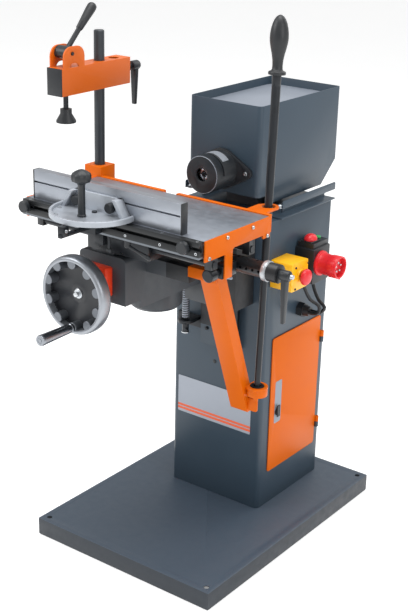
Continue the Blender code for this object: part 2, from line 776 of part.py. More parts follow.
def build_pedestal():
    floor = BASE_HEIGHT + GAP
    outer = prism("Z", rounded((-SIDE, PEDESTAL_FRONT), (SIDE, REAR), PEDESTAL_CORNER), floor, PEDESTAL_TOP)
    inner = prism("Z", rounded((-SIDE + SHEET, PEDESTAL_FRONT + SHEET), (SIDE - SHEET, REAR - SHEET),
                               PEDESTAL_CORNER - SHEET), floor - OVERRUN, PEDESTAL_TOP - SHEET)
    body = carved(outer, inner)
    doorway = block((SIDE - SHEET - OVERRUN, DOOR_FRONT + DOOR_LAP, DOOR_BOTTOM + DOOR_LAP),
                    (SIDE + OVERRUN, DOOR_FRONT + DOOR_WIDTH - DOOR_LAP,
                     DOOR_BOTTOM + DOOR_HEIGHT - DOOR_LAP))
    body = carved(body, doorway)
    for foot in hinge_feet():
        tab = block((SIDE - SHEET / 2, foot.y, foot.z - HINGE_LENGTH / 2),
                    (foot.x, foot.y + HINGE_RADIUS, foot.z - GAP))
        knuckle = rod((foot.x, foot.y, foot.z - HINGE_LENGTH / 2), HINGE_LENGTH / 2 - GAP, HINGE_RADIUS,
                      steps=SMALL)
        pin = rod((foot.x, foot.y, foot.z - HINGE_LENGTH / 4), HINGE_LENGTH / 2, HINGE_PIN_RADIUS,
                  steps=SMALL)
        body = joined(body, tab, knuckle, pin)
    return piece("pedestal", body, "anthracite")


def hinge_feet():
    """Middle points of the two door hinges, on the hinge axis."""
    x = SIDE + HINGE_RADIUS + GAP
    y = DOOR_FRONT + DOOR_WIDTH + HINGE_RADIUS + GAP
    return [Vector((x, y, DOOR_BOTTOM + HINGE_INSET)),
            Vector((x, y, DOOR_BOTTOM + DOOR_HEIGHT - HINGE_INSET))]


def build_door():
    face = SIDE + GAP
    outline = rounded((DOOR_FRONT, DOOR_BOTTOM), (DOOR_FRONT + DOOR_WIDTH, DOOR_BOTTOM + DOOR_HEIGHT),
                      DOOR_CORNER, 2)
    leaf = prism("X", outline, face, face + SHEET)
    for foot in hinge_feet():
        barrel = rod((foot.x, foot.y, foot.z + GAP), HINGE_LENGTH / 2, HINGE_RADIUS, steps=SMALL)
        strap = block((face + GAP, foot.y - HINGE_RADIUS - DOOR_LAP, foot.z + GAP),
                      (face + SHEET, foot.y - HINGE_PIN_RADIUS, foot.z + GAP + HINGE_LENGTH / 2))
        bore = rod((foot.x, foot.y, foot.z - OVERRUN), HINGE_LENGTH + OVERRUN, HINGE_PIN_RADIUS + GAP,
                   steps=SMALL)
        leaf = joined(leaf, strap, barrel)
        leaf = carved(leaf, bore)
    latch_y = DOOR_FRONT + LATCH_INSET
    hole = rod((face - OVERRUN, latch_y, LATCH_HEIGHT), SHEET + 2 * OVERRUN, LATCH_RADIUS * 0.7 + GAP,
               (1, 0, 0), FINE)
    leaf = carved(leaf, hole)
    pivot = hinge_feet()[0]
    door = piece("door", leaf, "orange", (pivot.x, pivot.y, DOOR_BOTTOM))
    inside = PLATE + GAP
    reach = LATCH_INSET / 2
    turn = turned([(LATCH_RADIUS * 0.7, -inside), (LATCH_RADIUS * 0.7, SHEET + GAP),
                   (LATCH_RADIUS, SHEET + GAP),
                   (LATCH_RADIUS, SHEET + PLATE)], (face, latch_y, LATCH_HEIGHT), (1, 0, 0), FINE)
    tongue = block((face - inside - PLATE, latch_y - reach, LATCH_HEIGHT - LATCH_RADIUS / 2),
                   (face - inside, latch_y + LATCH_RADIUS, LATCH_HEIGHT + LATCH_RADIUS / 2))
    latch = piece("door_latch", joined(turn, tongue), "black", (face, latch_y, LATCH_HEIGHT))
    return [door, latch]


def build_motor_mount():
    floor = PEDESTAL_TOP + GAP
    half = MOTOR_PLATE_WIDTH / 2
    plate = block((-half, MOTOR_PLATE_FRONT, floor),
                  (half, MOTOR_PLATE_FRONT + MOTOR_PLATE_DEPTH, floor + PLATE))
    for side in (-1, 1):
        edge = sorted((side * UPSTAND_SPREAD, side * (UPSTAND_SPREAD - PLATE)))
        plate = joined(plate, block((edge[0], UPSTAND_FRONT, floor + PLATE / 2),
                                    (edge[1], UPSTAND_FRONT + UPSTAND_LENGTH,
                                     floor + PLATE + UPSTAND_HEIGHT)))
    return piece("motor_plate", plate, "anthracite")


def build_motor():
    """Round body between two end bells, on a cast foot."""
    bell = MOTOR_RADIUS - MOTOR_STEP
    third = MOTOR_LENGTH / 3
    profile = [(MOTOR_NECK_RADIUS, 0), (MOTOR_NECK_RADIUS, MOTOR_NECK), (bell, MOTOR_NECK),
               (bell, third * 0.7), (MOTOR_RADIUS, third * 0.7),
               (MOTOR_RADIUS, third * 2.2), (bell, third * 2.2), (bell, third * 2.9),
               (bell - MOTOR_STEP, MOTOR_LENGTH)]
    body = turned(profile, (0, MOTOR_FRONT, SPINDLE_HEIGHT), (0, 1, 0), ROUND)
    foot_top = SPINDLE_HEIGHT - MOTOR_RADIUS * 0.7
    middle = MOTOR_FRONT + third * 1.5
    foot = block((-MOTOR_FOOT_WIDTH / 2, middle - MOTOR_FOOT_LENGTH / 2, PEDESTAL_TOP + PLATE + 2 * GAP),
                 (MOTOR_FOOT_WIDTH / 2, middle + MOTOR_FOOT_LENGTH / 2, foot_top))
    bore = rod((0, MOTOR_FRONT - OVERRUN, SPINDLE_HEIGHT), third, SHAFT_RADIUS + GAP, (0, 1, 0), FINE)
    return piece("motor", carved(joined(body, foot), bore), "black")


def hood_solid(inset):
    """The hood's outer or inner form: a round-cornered box with a slanted lower rear edge."""
    half = HOOD_WIDTH / 2 - inset
    front = PEDESTAL_FRONT + inset
    back = PEDESTAL_FRONT + HOOD_DEPTH - inset
    low = HOOD_BOTTOM - (OVERRUN if inset else 0)
    high = HOOD_TOP + (OVERRUN if inset else 0)
    body = prism("Z", rounded((-half, front), (half, back), HOOD_CORNER - inset), low, high)
    slope = HOOD_SLANT_DEPTH / HOOD_SLANT_HEIGHT
    corner = (back + OVERRUN, HOOD_BOTTOM + HOOD_SLANT_HEIGHT + inset + OVERRUN / slope)
    toe = (back - HOOD_SLANT_DEPTH - OVERRUN * slope, HOOD_BOTTOM + inset - OVERRUN)
    wedge = prism("X", [toe, (back + OVERRUN, toe[1]), corner], -HOOD_WIDTH, HOOD_WIDTH)
    return carved(body, wedge)


def build_hood():
    shell = carved(hood_solid(0), hood_solid(HOOD_WALL))
    window = rod((0, PEDESTAL_FRONT - OVERRUN, SPINDLE_HEIGHT), 2 * OVERRUN + HOOD_WALL, CHUCK_RADIUS + PLATE,
                 (0, 1, 0), ROUND)
    shell = carved(shell, window)
    lid_top = HOOD_TOP - HOOD_RECESS
    inset = HOOD_WALL + GAP
    half = HOOD_WIDTH / 2 - inset
    outline = rounded((-half, PEDESTAL_FRONT + inset), (half, PEDESTAL_FRONT + HOOD_DEPTH - inset),
                      HOOD_CORNER - inset)
    lid = prism("Z", outline, lid_top - HOOD_WALL, lid_top)
    return [piece("motor_hood", shell, "anthracite"), piece("hood_lid", lid, "aluminium")]


def guard_flange_outline():
    """Two-eared flange: the outline of three circles held by straight sides."""
    tilt = math.degrees(math.acos((GUARD_RADIUS + PLATE - GUARD_EAR_RADIUS) / GUARD_EAR_SPREAD))
    middle = (0, SPINDLE_HEIGHT)
    right = (GUARD_EAR_SPREAD, SPINDLE_HEIGHT)
    left = (-GUARD_EAR_SPREAD, SPINDLE_HEIGHT)
    points = arc(right, GUARD_EAR_RADIUS, -tilt, tilt, 6)
    points += arc(middle, GUARD_RADIUS + PLATE, tilt, 180 - tilt, 6)
    points += arc(left, GUARD_EAR_RADIUS, 180 - tilt, 180 + tilt, 6)
    points += arc(middle, GUARD_RADIUS + PLATE, 180 + tilt, 360 - tilt, 6)
    return points


def build_guard():
    seat = PEDESTAL_FRONT - GAP
    flange = prism("Y", guard_flange_outline(), seat - GUARD_FLANGE, seat)
    front = seat - GUARD_FLANGE - GUARD_LENGTH
    edge = PLATE / 2
    barrel = turned([(GUARD_RADIUS - edge, 0), (GUARD_RADIUS, edge),
                     (GUARD_RADIUS, GUARD_LENGTH + GUARD_FLANGE / 2)],
                    (0, front, SPINDLE_HEIGHT), (0, 1, 0), ROUND)
    body = joined(flange, barrel)
    bore = rod((0, front + GUARD_WALL, SPINDLE_HEIGHT), GUARD_LENGTH + GUARD_FLANGE,
               GUARD_RADIUS - GUARD_WALL,
               (0, 1, 0), ROUND)
    mouth = rod((0, front - OVERRUN, SPINDLE_HEIGHT), GUARD_WALL + 2 * OVERRUN, GUARD_MOUTH_RADIUS,
                (0, 1, 0), FINE)
    body = carved(body, bore, mouth)
    slit = block((0, front + GUARD_LENGTH / 3, SPINDLE_HEIGHT),
                 (GUARD_RADIUS + OVERRUN, front + GUARD_LENGTH / 3 + PLATE,
                  SPINDLE_HEIGHT + GUARD_RADIUS + OVERRUN))
    body = carved(body, slit)
    for x in (-GUARD_EAR_SPREAD, GUARD_EAR_SPREAD):
        body = carved(body, rod((x, seat - GUARD_FLANGE - OVERRUN, SPINDLE_HEIGHT),
                                GUARD_FLANGE + 2 * OVERRUN,
                                GUARD_BOLT_RADIUS, (0, 1, 0), SMALL))
    return piece("chuck_guard", body, "black")


def build_spindle():
    front = PEDESTAL_FRONT - GAP - GUARD_FLANGE - GUARD_LENGTH + CHUCK_SETBACK
    nose = CHUCK_RADIUS * 0.6
    profile = [(nose, 0), (CHUCK_RADIUS, CHUCK_LENGTH * 0.3), (CHUCK_RADIUS, CHUCK_LENGTH),
               (SHAFT_RADIUS, CHUCK_LENGTH), (SHAFT_RADIUS, MOTOR_FRONT - front + MOTOR_LENGTH / 4)]
    body = turned(profile, (0, front, SPINDLE_HEIGHT), (0, 1, 0), ROUND)
    body = carved(body, rod((0, front - OVERRUN, SPINDLE_HEIGHT), CHUCK_LENGTH * 0.7, CHUCK_BORE, (0, 1, 0),
                            SMALL))
    for i in range(JAW_COUNT):
        angle = math.tau * i / JAW_COUNT
        slot = block((-nose, front - OVERRUN, -PLATE / 4), (nose, front + CHUCK_LENGTH * 0.25, PLATE / 4))
        turn = Matrix.Translation((0, 0, SPINDLE_HEIGHT)) @ Matrix.Rotation(angle / 2, 4, "Y")
        bmesh.ops.transform(slot, matrix=turn, verts=slot.verts)
        if i % 2 == 0:
            body = carved(body, slot)
        else:
            slot.free()
    return piece("spindle", body, "steel", (0, front, SPINDLE_HEIGHT))


def dovetail(centre, top_half, waist, top, root):
    """A male dovetail's outline: wide at the top, narrow at the root."""
    return [(centre - waist, root), (centre + waist, root), (centre + top_half, top),
            (centre - top_half, top)]


def build_slideway():
    face = PEDESTAL_FRONT - GAP
    outline = dovetail(SLIDE_CENTRE, SLIDE_HALF, SLIDE_WAIST, face - SLIDE_DEPTH, face)
    return piece("slideway", prism("Z", outline, SLIDE_BOTTOM, SLIDE_TOP), "steel")


def build_lift_screw():
    bracket_top = BRACKET_BOTTOM + BRACKET_HEIGHT
    left = SCREW_X - BRACKET_WIDTH / 2
    back = PEDESTAL_FRONT - GAP
    right = min(SCREW_X + BRACKET_WIDTH / 2, SLIDE_CENTRE - SLIDE_HALF - GAP)
    plate = block((left, back - PLATE * 2, BRACKET_BOTTOM), (right, back, bracket_top))
    shelf = prism("Z", [(SCREW_X - SCREW_RADIUS * 2, back - PLATE), (SCREW_X - SCREW_RADIUS * 2, SCREW_Y)]
                  + arc((SCREW_X, SCREW_Y), SCREW_RADIUS * 2, 180, 360, 8)
                  + [(SCREW_X + SCREW_RADIUS * 2, back - PLATE)], bracket_top - PLATE * 2, bracket_top)
    bore = rod((SCREW_X, SCREW_Y, BRACKET_BOTTOM - OVERRUN), BRACKET_HEIGHT + 2 * OVERRUN, SCREW_RADIUS + GAP,
               steps=FINE)
    bracket = piece("screw_bracket", carved(joined(plate, shelf), bore), "black")
    foot = bracket_top - PLATE * 2 - GAP - FOOT_NUT_HEIGHT
    profile = [(SCREW_RADIUS * 0.7, foot - FOOT_NUT_HEIGHT), (SCREW_RADIUS, foot - FOOT_NUT_HEIGHT / 2),
               (SCREW_RADIUS, foot), (FOOT_NUT_RADIUS, foot), (FOOT_NUT_RADIUS, foot + FOOT_NUT_HEIGHT),
               (SCREW_RADIUS, foot + FOOT_NUT_HEIGHT), (SCREW_RADIUS, SCREW_TOP - PLATE / 2),
               (SCREW_RADIUS * 0.8, SCREW_TOP)]
    screw = piece("lift_screw", turned(profile, (SCREW_X, SCREW_Y, 0), steps=FINE), "steel")
    return [bracket, screw]


def build_lift_saddle():
    """The cast knee: slide plate, gear boss, nose, brace arm and the dovetail way on top."""
    behind = PEDESTAL_FRONT - GAP - PLATE / 2
    body = block((SADDLE_LEFT, SADDLE_FRONT, SADDLE_BOTTOM), (SADDLE_RIGHT, behind, ARM_TOP))
    trunk_front = KNEE_FRONT + NOSE_LENGTH - PLATE
    trunk = block((KNEE_LEFT, trunk_front, BODY_BOTTOM), (KNEE_RIGHT, SADDLE_FRONT + PLATE, KNEE_TOP))
    middle = (KNEE_LEFT + KNEE_RIGHT) / 2
    boss = turned([(BOSS_RADIUS - PLATE * 2, BOSS_BOTTOM), (BOSS_RADIUS, BOSS_BOTTOM + PLATE * 2),
                   (BOSS_RADIUS, KNEE_TOP - PLATE)], (middle, BOSS_Y, 0), steps=ROUND)
    crown = KNEE_TOP - NOSE_CORNER
    nose = prism("Y", [(KNEE_LEFT, NOSE_BOTTOM), (KNEE_RIGHT, NOSE_BOTTOM), (KNEE_RIGHT, crown)]
                 + arc((KNEE_RIGHT - NOSE_CORNER, crown), NOSE_CORNER, 22.5, 90, 3)
                 + arc((KNEE_LEFT + NOSE_CORNER, crown), NOSE_CORNER, 90, 157.5, 3)
                 + [(KNEE_LEFT, crown)], KNEE_FRONT, trunk_front + PLATE)
    arm = block((KNEE_RIGHT - PLATE, ARM_FRONT, ARM_BOTTOM), (ARM_RIGHT, ARM_BACK, ARM_TOP))
    way = prism("Y", dovetail(WAY_CENTRE, WAY_TOP_HALF, WAY_WAIST, KNEE_TOP + WAY_HEIGHT,
                              KNEE_TOP - PLATE / 8),
                KNEE_FRONT + PLATE, SADDLE_FRONT)
    body = joined(body, trunk, boss, nose, arm, way)
    face = PEDESTAL_FRONT - GAP
    groove = prism("Z", dovetail(SLIDE_CENTRE, SLIDE_HALF + GAP, SLIDE_WAIST + GAP, face - SLIDE_DEPTH - GAP,
                                 face + OVERRUN), SADDLE_BOTTOM - OVERRUN, ARM_TOP + OVERRUN)
    pocket = block((SCREW_X - POCKET_HALF, SADDLE_FRONT - OVERRUN, SADDLE_BOTTOM - OVERRUN),
                   (SCREW_X + POCKET_HALF, behind + OVERRUN, POCKET_TOP))
    screw_way = rod((SCREW_X, SCREW_Y, POCKET_TOP - OVERRUN), KNEE_TOP, SCREW_RADIUS + 3 * GAP, steps=FINE)
    shaft_way = rod((SCREW_X, KNEE_FRONT - OVERRUN, WHEEL_HEIGHT), SADDLE_FRONT - KNEE_FRONT + 2 * OVERRUN,
                    SHAFT_ROD_RADIUS + RUNNING, (0, 1, 0), FINE)
    inner = block((KNEE_LEFT + CASTING_WALL, KNEE_FRONT + CASTING_WALL, BODY_BOTTOM - OVERRUN),
                  (KNEE_RIGHT - CASTING_WALL, SADDLE_FRONT - CASTING_WALL, KNEE_TOP - CASTING_WALL))
    inner = carved(inner, rod((middle, BOSS_Y, BOSS_BOTTOM), KNEE_TOP, BOSS_RADIUS - PLATE / 2, steps=ROUND))
    gear_room = rod((middle, BOSS_Y, BOSS_BOTTOM + CASTING_WALL),
                    KNEE_TOP - BOSS_BOTTOM - 2 * CASTING_WALL - PLATE / 2,
                    BOSS_RADIUS - CASTING_WALL, steps=ROUND)
    body = carved(body, inner, gear_room, groove, pocket, screw_way, shaft_way)
    return piece("lift_saddle", body, "cast", (SLIDE_CENTRE, PEDESTAL_FRONT, ARM_TOP))


def bevel_gear(teeth):
    """A toothed bevel rim with its axis on +Z and its large end at height 0."""
    outer = teeth * BEVEL_MODULE / 2
    inner = outer - BEVEL_FACE * 0.5
    mesh = bmesh.new()
    rings = []
    for scale, height in ((outer, 0), (inner, BEVEL_FACE * 0.5)):
        ring = []
        for i in range(teeth * 2):
            radius = scale - (BEVEL_MODULE * 0.8 if i % 2 else 0)
            angle = math.tau * (i + 0.5) / (teeth * 2)
            ring.append(mesh.verts.new((radius * math.cos(angle), radius * math.sin(angle), height)))
        rings.append(ring)
    count = teeth * 2
    for i in range(count):
        j = (i + 1) % count
        mesh.faces.new((rings[0][i], rings[0][j], rings[1][j], rings[1][i]))
    mesh.faces.new(list(reversed(rings[0])))
    mesh.faces.new(rings[1])
    bmesh.ops.recalc_face_normals(mesh, faces=mesh.faces)
    return mesh


def build_lift_drive():
    """Nut with its bevel rim, the shaft with the pinion, the wheel, the counter and the crank grip."""
    top = POCKET_TOP - GAP
    nut = turned([(NUT_RADIUS, top - NUT_HEIGHT + BEVEL_FACE / 2), (NUT_RADIUS, top)],
                 (SCREW_X, SCREW_Y, 0), steps=FINE)
    rim = bevel_gear(NUT_TEETH)
    rim_place = Matrix.Translation((SCREW_X, SCREW_Y, top - NUT_HEIGHT + BEVEL_FACE * 0.6)) @ Matrix.Rotation(
        math.pi, 4, "X")
    bmesh.ops.transform(rim, matrix=rim_place, verts=rim.verts)
    bore = rod((SCREW_X, SCREW_Y, top - NUT_HEIGHT * 2), NUT_HEIGHT * 3, SCREW_RADIUS + GAP, steps=FINE)
    lift_nut = piece("lift_nut", carved(joined(nut, rim), bore), "steel", (SCREW_X, SCREW_Y, top))
    wheel_back = WHEEL_FACE + WHEEL_WIDTH
    pinion_back = SCREW_Y - NUT_RADIUS - GAP
    shaft_front = WHEEL_FACE + WHEEL_WIDTH / 2 + WHEEL_WEB
    shaft = turned([(SHAFT_ROD_RADIUS, 0), (SHAFT_ROD_RADIUS, pinion_back - PLATE - shaft_front)],
                   (SCREW_X, shaft_front, WHEEL_HEIGHT), (0, 1, 0), FINE)
    pinion = bevel_gear(PINION_TEETH)
    bmesh.ops.transform(pinion, matrix=Matrix.Translation((SCREW_X, pinion_back
                                                           - BEVEL_FACE * 0.6, WHEEL_HEIGHT))
                        @ frame_for((0, 1, 0)), verts=pinion.verts)
    drive_shaft = piece("handwheel_shaft", joined(shaft, pinion), "steel",
                        (SCREW_X, wheel_back, WHEEL_HEIGHT))
    return [lift_nut, drive_shaft]


def build_handwheel():
    def outer(angle):
        return WHEEL_RADIUS

    def inner(angle):
        wave = math.cos(WHEEL_LOBES * angle)
        return WHEEL_RADIUS - WHEEL_RIM - WHEEL_LOBE * max(0, wave)

    foot = (SCREW_X, WHEEL_FACE, WHEEL_HEIGHT)
    rim = hoop(outer, inner, WHEEL_LOBES * 6, foot, WHEEL_WIDTH, (0, 1, 0))
    web_back = WHEEL_WIDTH / 2 + WHEEL_WEB
    web = turned([(WHEEL_RADIUS - PLATE, WHEEL_WIDTH / 2), (WHEEL_RADIUS - PLATE, web_back)], foot,
                 (0, 1, 0), FINE)
    hub = turned([(WHEEL_HUB_RADIUS, WHEEL_WIDTH / 4), (WHEEL_HUB_RADIUS, WHEEL_WIDTH)], foot, (0, 1, 0),
                 FINE)
    socket = rod((SCREW_X, WHEEL_FACE + web_back - GAP, WHEEL_HEIGHT), WHEEL_WIDTH,
                 SHAFT_ROD_RADIUS + GAP / 2,
                 (0, 1, 0), FINE)
    boss = rod((SCREW_X, WHEEL_FACE, WHEEL_HEIGHT - GRIP_ARM), WHEEL_WIDTH / 2 + PLATE, GRIP_ROOT_RADIUS,
               (0, 1, 0), FINE)
    pin = rod((SCREW_X, WHEEL_FACE - GRIP_LENGTH / 2, WHEEL_HEIGHT - GRIP_ARM), GRIP_LENGTH / 2 + PLATE,
              GRIP_PIN_RADIUS, (0, 1, 0), SMALL)
    wheel = carved(joined(rim, web, hub, boss, pin), socket)
    handwheel = piece("handwheel", wheel, "chrome", foot)
    root = WHEEL_FACE - GAP
    grip = turned([(GRIP_ROOT_RADIUS, 0), (GRIP_END_RADIUS * 0.9, GRIP_LENGTH / 2),
                   (GRIP_END_RADIUS, GRIP_LENGTH - PLATE), (GRIP_END_RADIUS - PLATE, GRIP_LENGTH)],
                  (SCREW_X, root, WHEEL_HEIGHT - GRIP_ARM), (0, -1, 0), FINE)
    grip = carved(grip, rod((SCREW_X, root + OVERRUN, WHEEL_HEIGHT - GRIP_ARM), GRIP_LENGTH / 2 + 2 * OVERRUN,
                            GRIP_PIN_RADIUS + GAP, (0, -1, 0), SMALL))
    crank = piece("crank_grip", grip, "chrome", (SCREW_X, root, WHEEL_HEIGHT - GRIP_ARM))
    return [handwheel, crank]


def build_counter():
    back = KNEE_FRONT - GAP
    low = WHEEL_HEIGHT - COUNTER_DROP
    body = prism("Y", rounded((SCREW_X - COUNTER_WIDTH / 2, low),
                              (SCREW_X + COUNTER_WIDTH / 2, low + COUNTER_HEIGHT),
                              PLATE, 2), back - COUNTER_DEPTH, back)
    bore = rod((SCREW_X, back - COUNTER_DEPTH - OVERRUN, WHEEL_HEIGHT), COUNTER_DEPTH + 2 * OVERRUN,
               SHAFT_ROD_RADIUS + GAP, (0, 1, 0), FINE)
    return piece("height_counter", carved(body, bore), "red")


def brace_side(front_inset, back_reach):
    """Side outline of the slanted brace, in Y and Z."""
    return [
        (BRACE_TOP_FRONT + front_inset, BRACE_TOP),
        (BRACE_FOOT_FRONT + front_inset, BRACE_FOOT),
        (BRACE_FOOT_FRONT + back_reach, BRACE_FOOT),
        (BRACE_TOP_FRONT + back_reach, BRACE_TOP),
    ]


def build_brace():
    body = prism("X", brace_side(0, BRACE_DEPTH), BRACE_LEFT, BRACE_RIGHT)
    slope = BRACE_SETBACK / BRACE_LENGTH
    over = OVERRUN * slope
    inside = [(BRACE_TOP_FRONT + PLATE - over, BRACE_TOP + OVERRUN),
              (BRACE_FOOT_FRONT + PLATE + over, BRACE_FOOT - OVERRUN),
              (BRACE_FOOT_FRONT + BRACE_DEPTH * 2, BRACE_FOOT - OVERRUN),
              (BRACE_TOP_FRONT + BRACE_DEPTH * 2, BRACE_TOP + OVERRUN)]
    body = carved(body, prism("X", inside, BRACE_LEFT + PLATE, BRACE_RIGHT - PLATE))
    pad = block((ARM_RIGHT + GAP, BRACE_TOP_FRONT, BRACE_TOP - BRACE_PAD_HEIGHT),
                (BRACE_RIGHT, BRACE_TOP_FRONT + PLATE, BRACE_TOP))
    cheek = block((ARM_RIGHT + GAP, BRACE_TOP_FRONT, BRACE_TOP - BRACE_PAD_HEIGHT),
                  (ARM_RIGHT + GAP + PLATE, ARM_BACK, BRACE_TOP))
    roof = block((ARM_RIGHT + GAP, BRACE_TOP_FRONT, BRACE_TOP - PLATE), (BRACE_RIGHT, ARM_BACK, BRACE_TOP))
    body = joined(body, pad, cheek, roof)
    half = FULCRUM_SIZE / 2
    plate = prism("Z", [(BRACE_RIGHT - PLATE / 2, FOOT_Y - half * 0.7), (FOOT_X + half * 0.3, FOOT_Y - half)]
                  + arc((FOOT_X, FOOT_Y), half * 0.9, -55, 100, 8)
                  + [(BRACE_RIGHT - PLATE / 2, FOOT_Y + half * 0.8)],
                  FULCRUM_HEIGHT - FULCRUM_PLATE / 2, FULCRUM_HEIGHT + FULCRUM_PLATE / 2)
    rib = prism("X", [(FOOT_Y - half * 0.7, FULCRUM_HEIGHT), (FOOT_Y - half * 0.7, FULCRUM_HEIGHT - half),
                      (FOOT_Y + half * 0.4, FULCRUM_HEIGHT - half), (FOOT_Y + half * 0.8, FULCRUM_HEIGHT)],
                BRACE_RIGHT - PLATE, BRACE_RIGHT)
    tab_front = FOOT_Y - half * 0.75
    tab = block((FOOT_X + half * 0.15, tab_front, FULCRUM_HEIGHT - FULCRUM_TAB_DROP),
                (FOOT_X + half * 0.55, tab_front + PLATE, FULCRUM_HEIGHT))
    body = joined(body, rib, plate, tab)
    seat = rod((FOOT_X, FOOT_Y, FULCRUM_HEIGHT - FULCRUM_PLATE - OVERRUN), 2 * FULCRUM_PLATE + 2 * OVERRUN,
               BUSH_RADIUS + GAP, steps=FINE)
    body = carved(body, seat)
    return piece("lever_brace", body, "orange")


def build_lever():
    """Fulcrum bush, bar and grip, along the leaning lever axis."""
    flat = math.sqrt(BUSH_RADIUS ** 2 - (BUSH_HEIGHT / 2) ** 2)
    hole = LEVER_FOOT_RADIUS + BUSH_SLACK
    flare = hole + BUSH_HEIGHT * math.tan(math.radians(LEVER_SWING_DEG))
    profile = [(flat, -BUSH_HEIGHT / 2), (BUSH_RADIUS, 0), (flat, BUSH_HEIGHT / 2)]
    bush = turned(profile, LEVER_FOOT, (0, 0, 1), FINE)
    bore = turned([(flare, -BUSH_HEIGHT), (hole, 0), (flare, BUSH_HEIGHT)], LEVER_FOOT, LEVER_AXIS, FINE)
    bush = piece("fulcrum_bush", carved(bush, bore), "black", LEVER_FOOT)
    length = LEVER_LENGTH - GRIP_BARREL
    bar = turned([(LEVER_FOOT_RADIUS * 0.8, -LEVER_TAIL), (LEVER_FOOT_RADIUS, -LEVER_TAIL * 0.8),
                  (LEVER_FOOT_RADIUS, BUSH_HEIGHT),
                  (LEVER_RADIUS, length), (LEVER_RADIUS * 0.6, length + GAP),
                  (LEVER_RADIUS * 0.6, length + GRIP_BARREL * 0.7)], LEVER_FOOT, LEVER_AXIS, FINE)
    bar = piece("lever", bar, "black", LEVER_FOOT)
    foot = LEVER_FOOT + LEVER_AXIS * (length + 2 * GAP)
    collar = PLATE * 1.5
    grip = turned([(GRIP_COLLAR_RADIUS, 0), (GRIP_COLLAR_RADIUS, collar), (GRIP_BARREL_NECK, collar * 2.5),
                   (GRIP_BARREL_RADIUS * 0.82, GRIP_BARREL * 0.42), (GRIP_BARREL_RADIUS, GRIP_BARREL * 0.72),
                   (GRIP_BARREL_RADIUS * 0.86, GRIP_BARREL * 0.92), (GRIP_BARREL_RADIUS * 0.45, GRIP_BARREL)],
                  foot, LEVER_AXIS, FINE)
    bore = rod(foot - LEVER_AXIS * OVERRUN, GRIP_BARREL * 0.7 + OVERRUN * 2, LEVER_RADIUS * 0.6 + GAP,
               LEVER_AXIS, FINE)
    return [bush, bar, piece("lever_grip", carved(grip, bore), "rubber", LEVER_FOOT)]


def build_cross_slide():
    floor = KNEE_TOP + GAP * 2
    foot = block((WAY_CENTRE - CARRIAGE_FOOT_HALF, CARRIAGE_BACK - CARRIAGE_FOOT_LENGTH, floor),
                 (WAY_CENTRE + CARRIAGE_FOOT_HALF, CARRIAGE_BACK, CARRIAGE_SPLIT + PLATE))
    deck = block((-CARRIAGE_HALF, CARRIAGE_FRONT, CARRIAGE_SPLIT),
                 (CARRIAGE_HALF, CARRIAGE_BACK, CARRIAGE_TOP))
    boss = rod((CARRIAGE_HALF - BAR_BOSS_LENGTH, BAR_Y, BAR_Z), BAR_BOSS_LENGTH, BAR_BOSS_RADIUS, (1, 0, 0),
               ROUND)
    body = joined(foot, deck, boss)
    way = prism("Y", dovetail(WAY_CENTRE, WAY_TOP_HALF + GAP, WAY_WAIST + GAP, KNEE_TOP + WAY_HEIGHT + GAP,
                              KNEE_TOP - PLATE / 8), CARRIAGE_FRONT - OVERRUN, CARRIAGE_BACK + OVERRUN)
    body = carved(body, way)
    for y in (GUIDE_FRONT, GUIDE_BACK):
        body = carved(body, rod((-CARRIAGE_HALF - OVERRUN, y, GUIDE_HEIGHT), 2 * (CARRIAGE_HALF + OVERRUN),
                                GUIDE_RADIUS + RUNNING, (1, 0, 0), FINE))
    hollow = block((-CARRIAGE_HALF + 3 * PLATE, GUIDE_FRONT + 5 * PLATE, GUIDE_HEIGHT + PLATE),
                   (CARRIAGE_HALF - 3 * PLATE, GUIDE_BACK - 5 * PLATE, CARRIAGE_TOP + OVERRUN))
    body = carved(body, hollow)
    seat = rod((CARRIAGE_HALF - BAR_BOSS_LENGTH + PLATE, BAR_Y, BAR_Z), BAR_BOSS_LENGTH + OVERRUN,
               BAR_RADIUS + RUNNING, (1, 0, 0), ROUND)
    return piece("cross_slide", carved(body, seat), "cast")


def build_guides():
    made = []
    for name, y in (("guide_shaft_front", GUIDE_FRONT), ("guide_shaft_rear", GUIDE_BACK)):
        start = -TABLE_HALF + PLATE / 2
        shaft = turned([(GUIDE_RADIUS - PLATE / 4, 0), (GUIDE_RADIUS, PLATE / 4),
                        (GUIDE_RADIUS, 2 * TABLE_HALF - PLATE / 4),
                        (GUIDE_RADIUS - PLATE / 4, 2 * TABLE_HALF)],
                       (start, y, GUIDE_HEIGHT), (1, 0, 0), FINE)
        made.append(piece(name, shaft, "steel"))
    return made


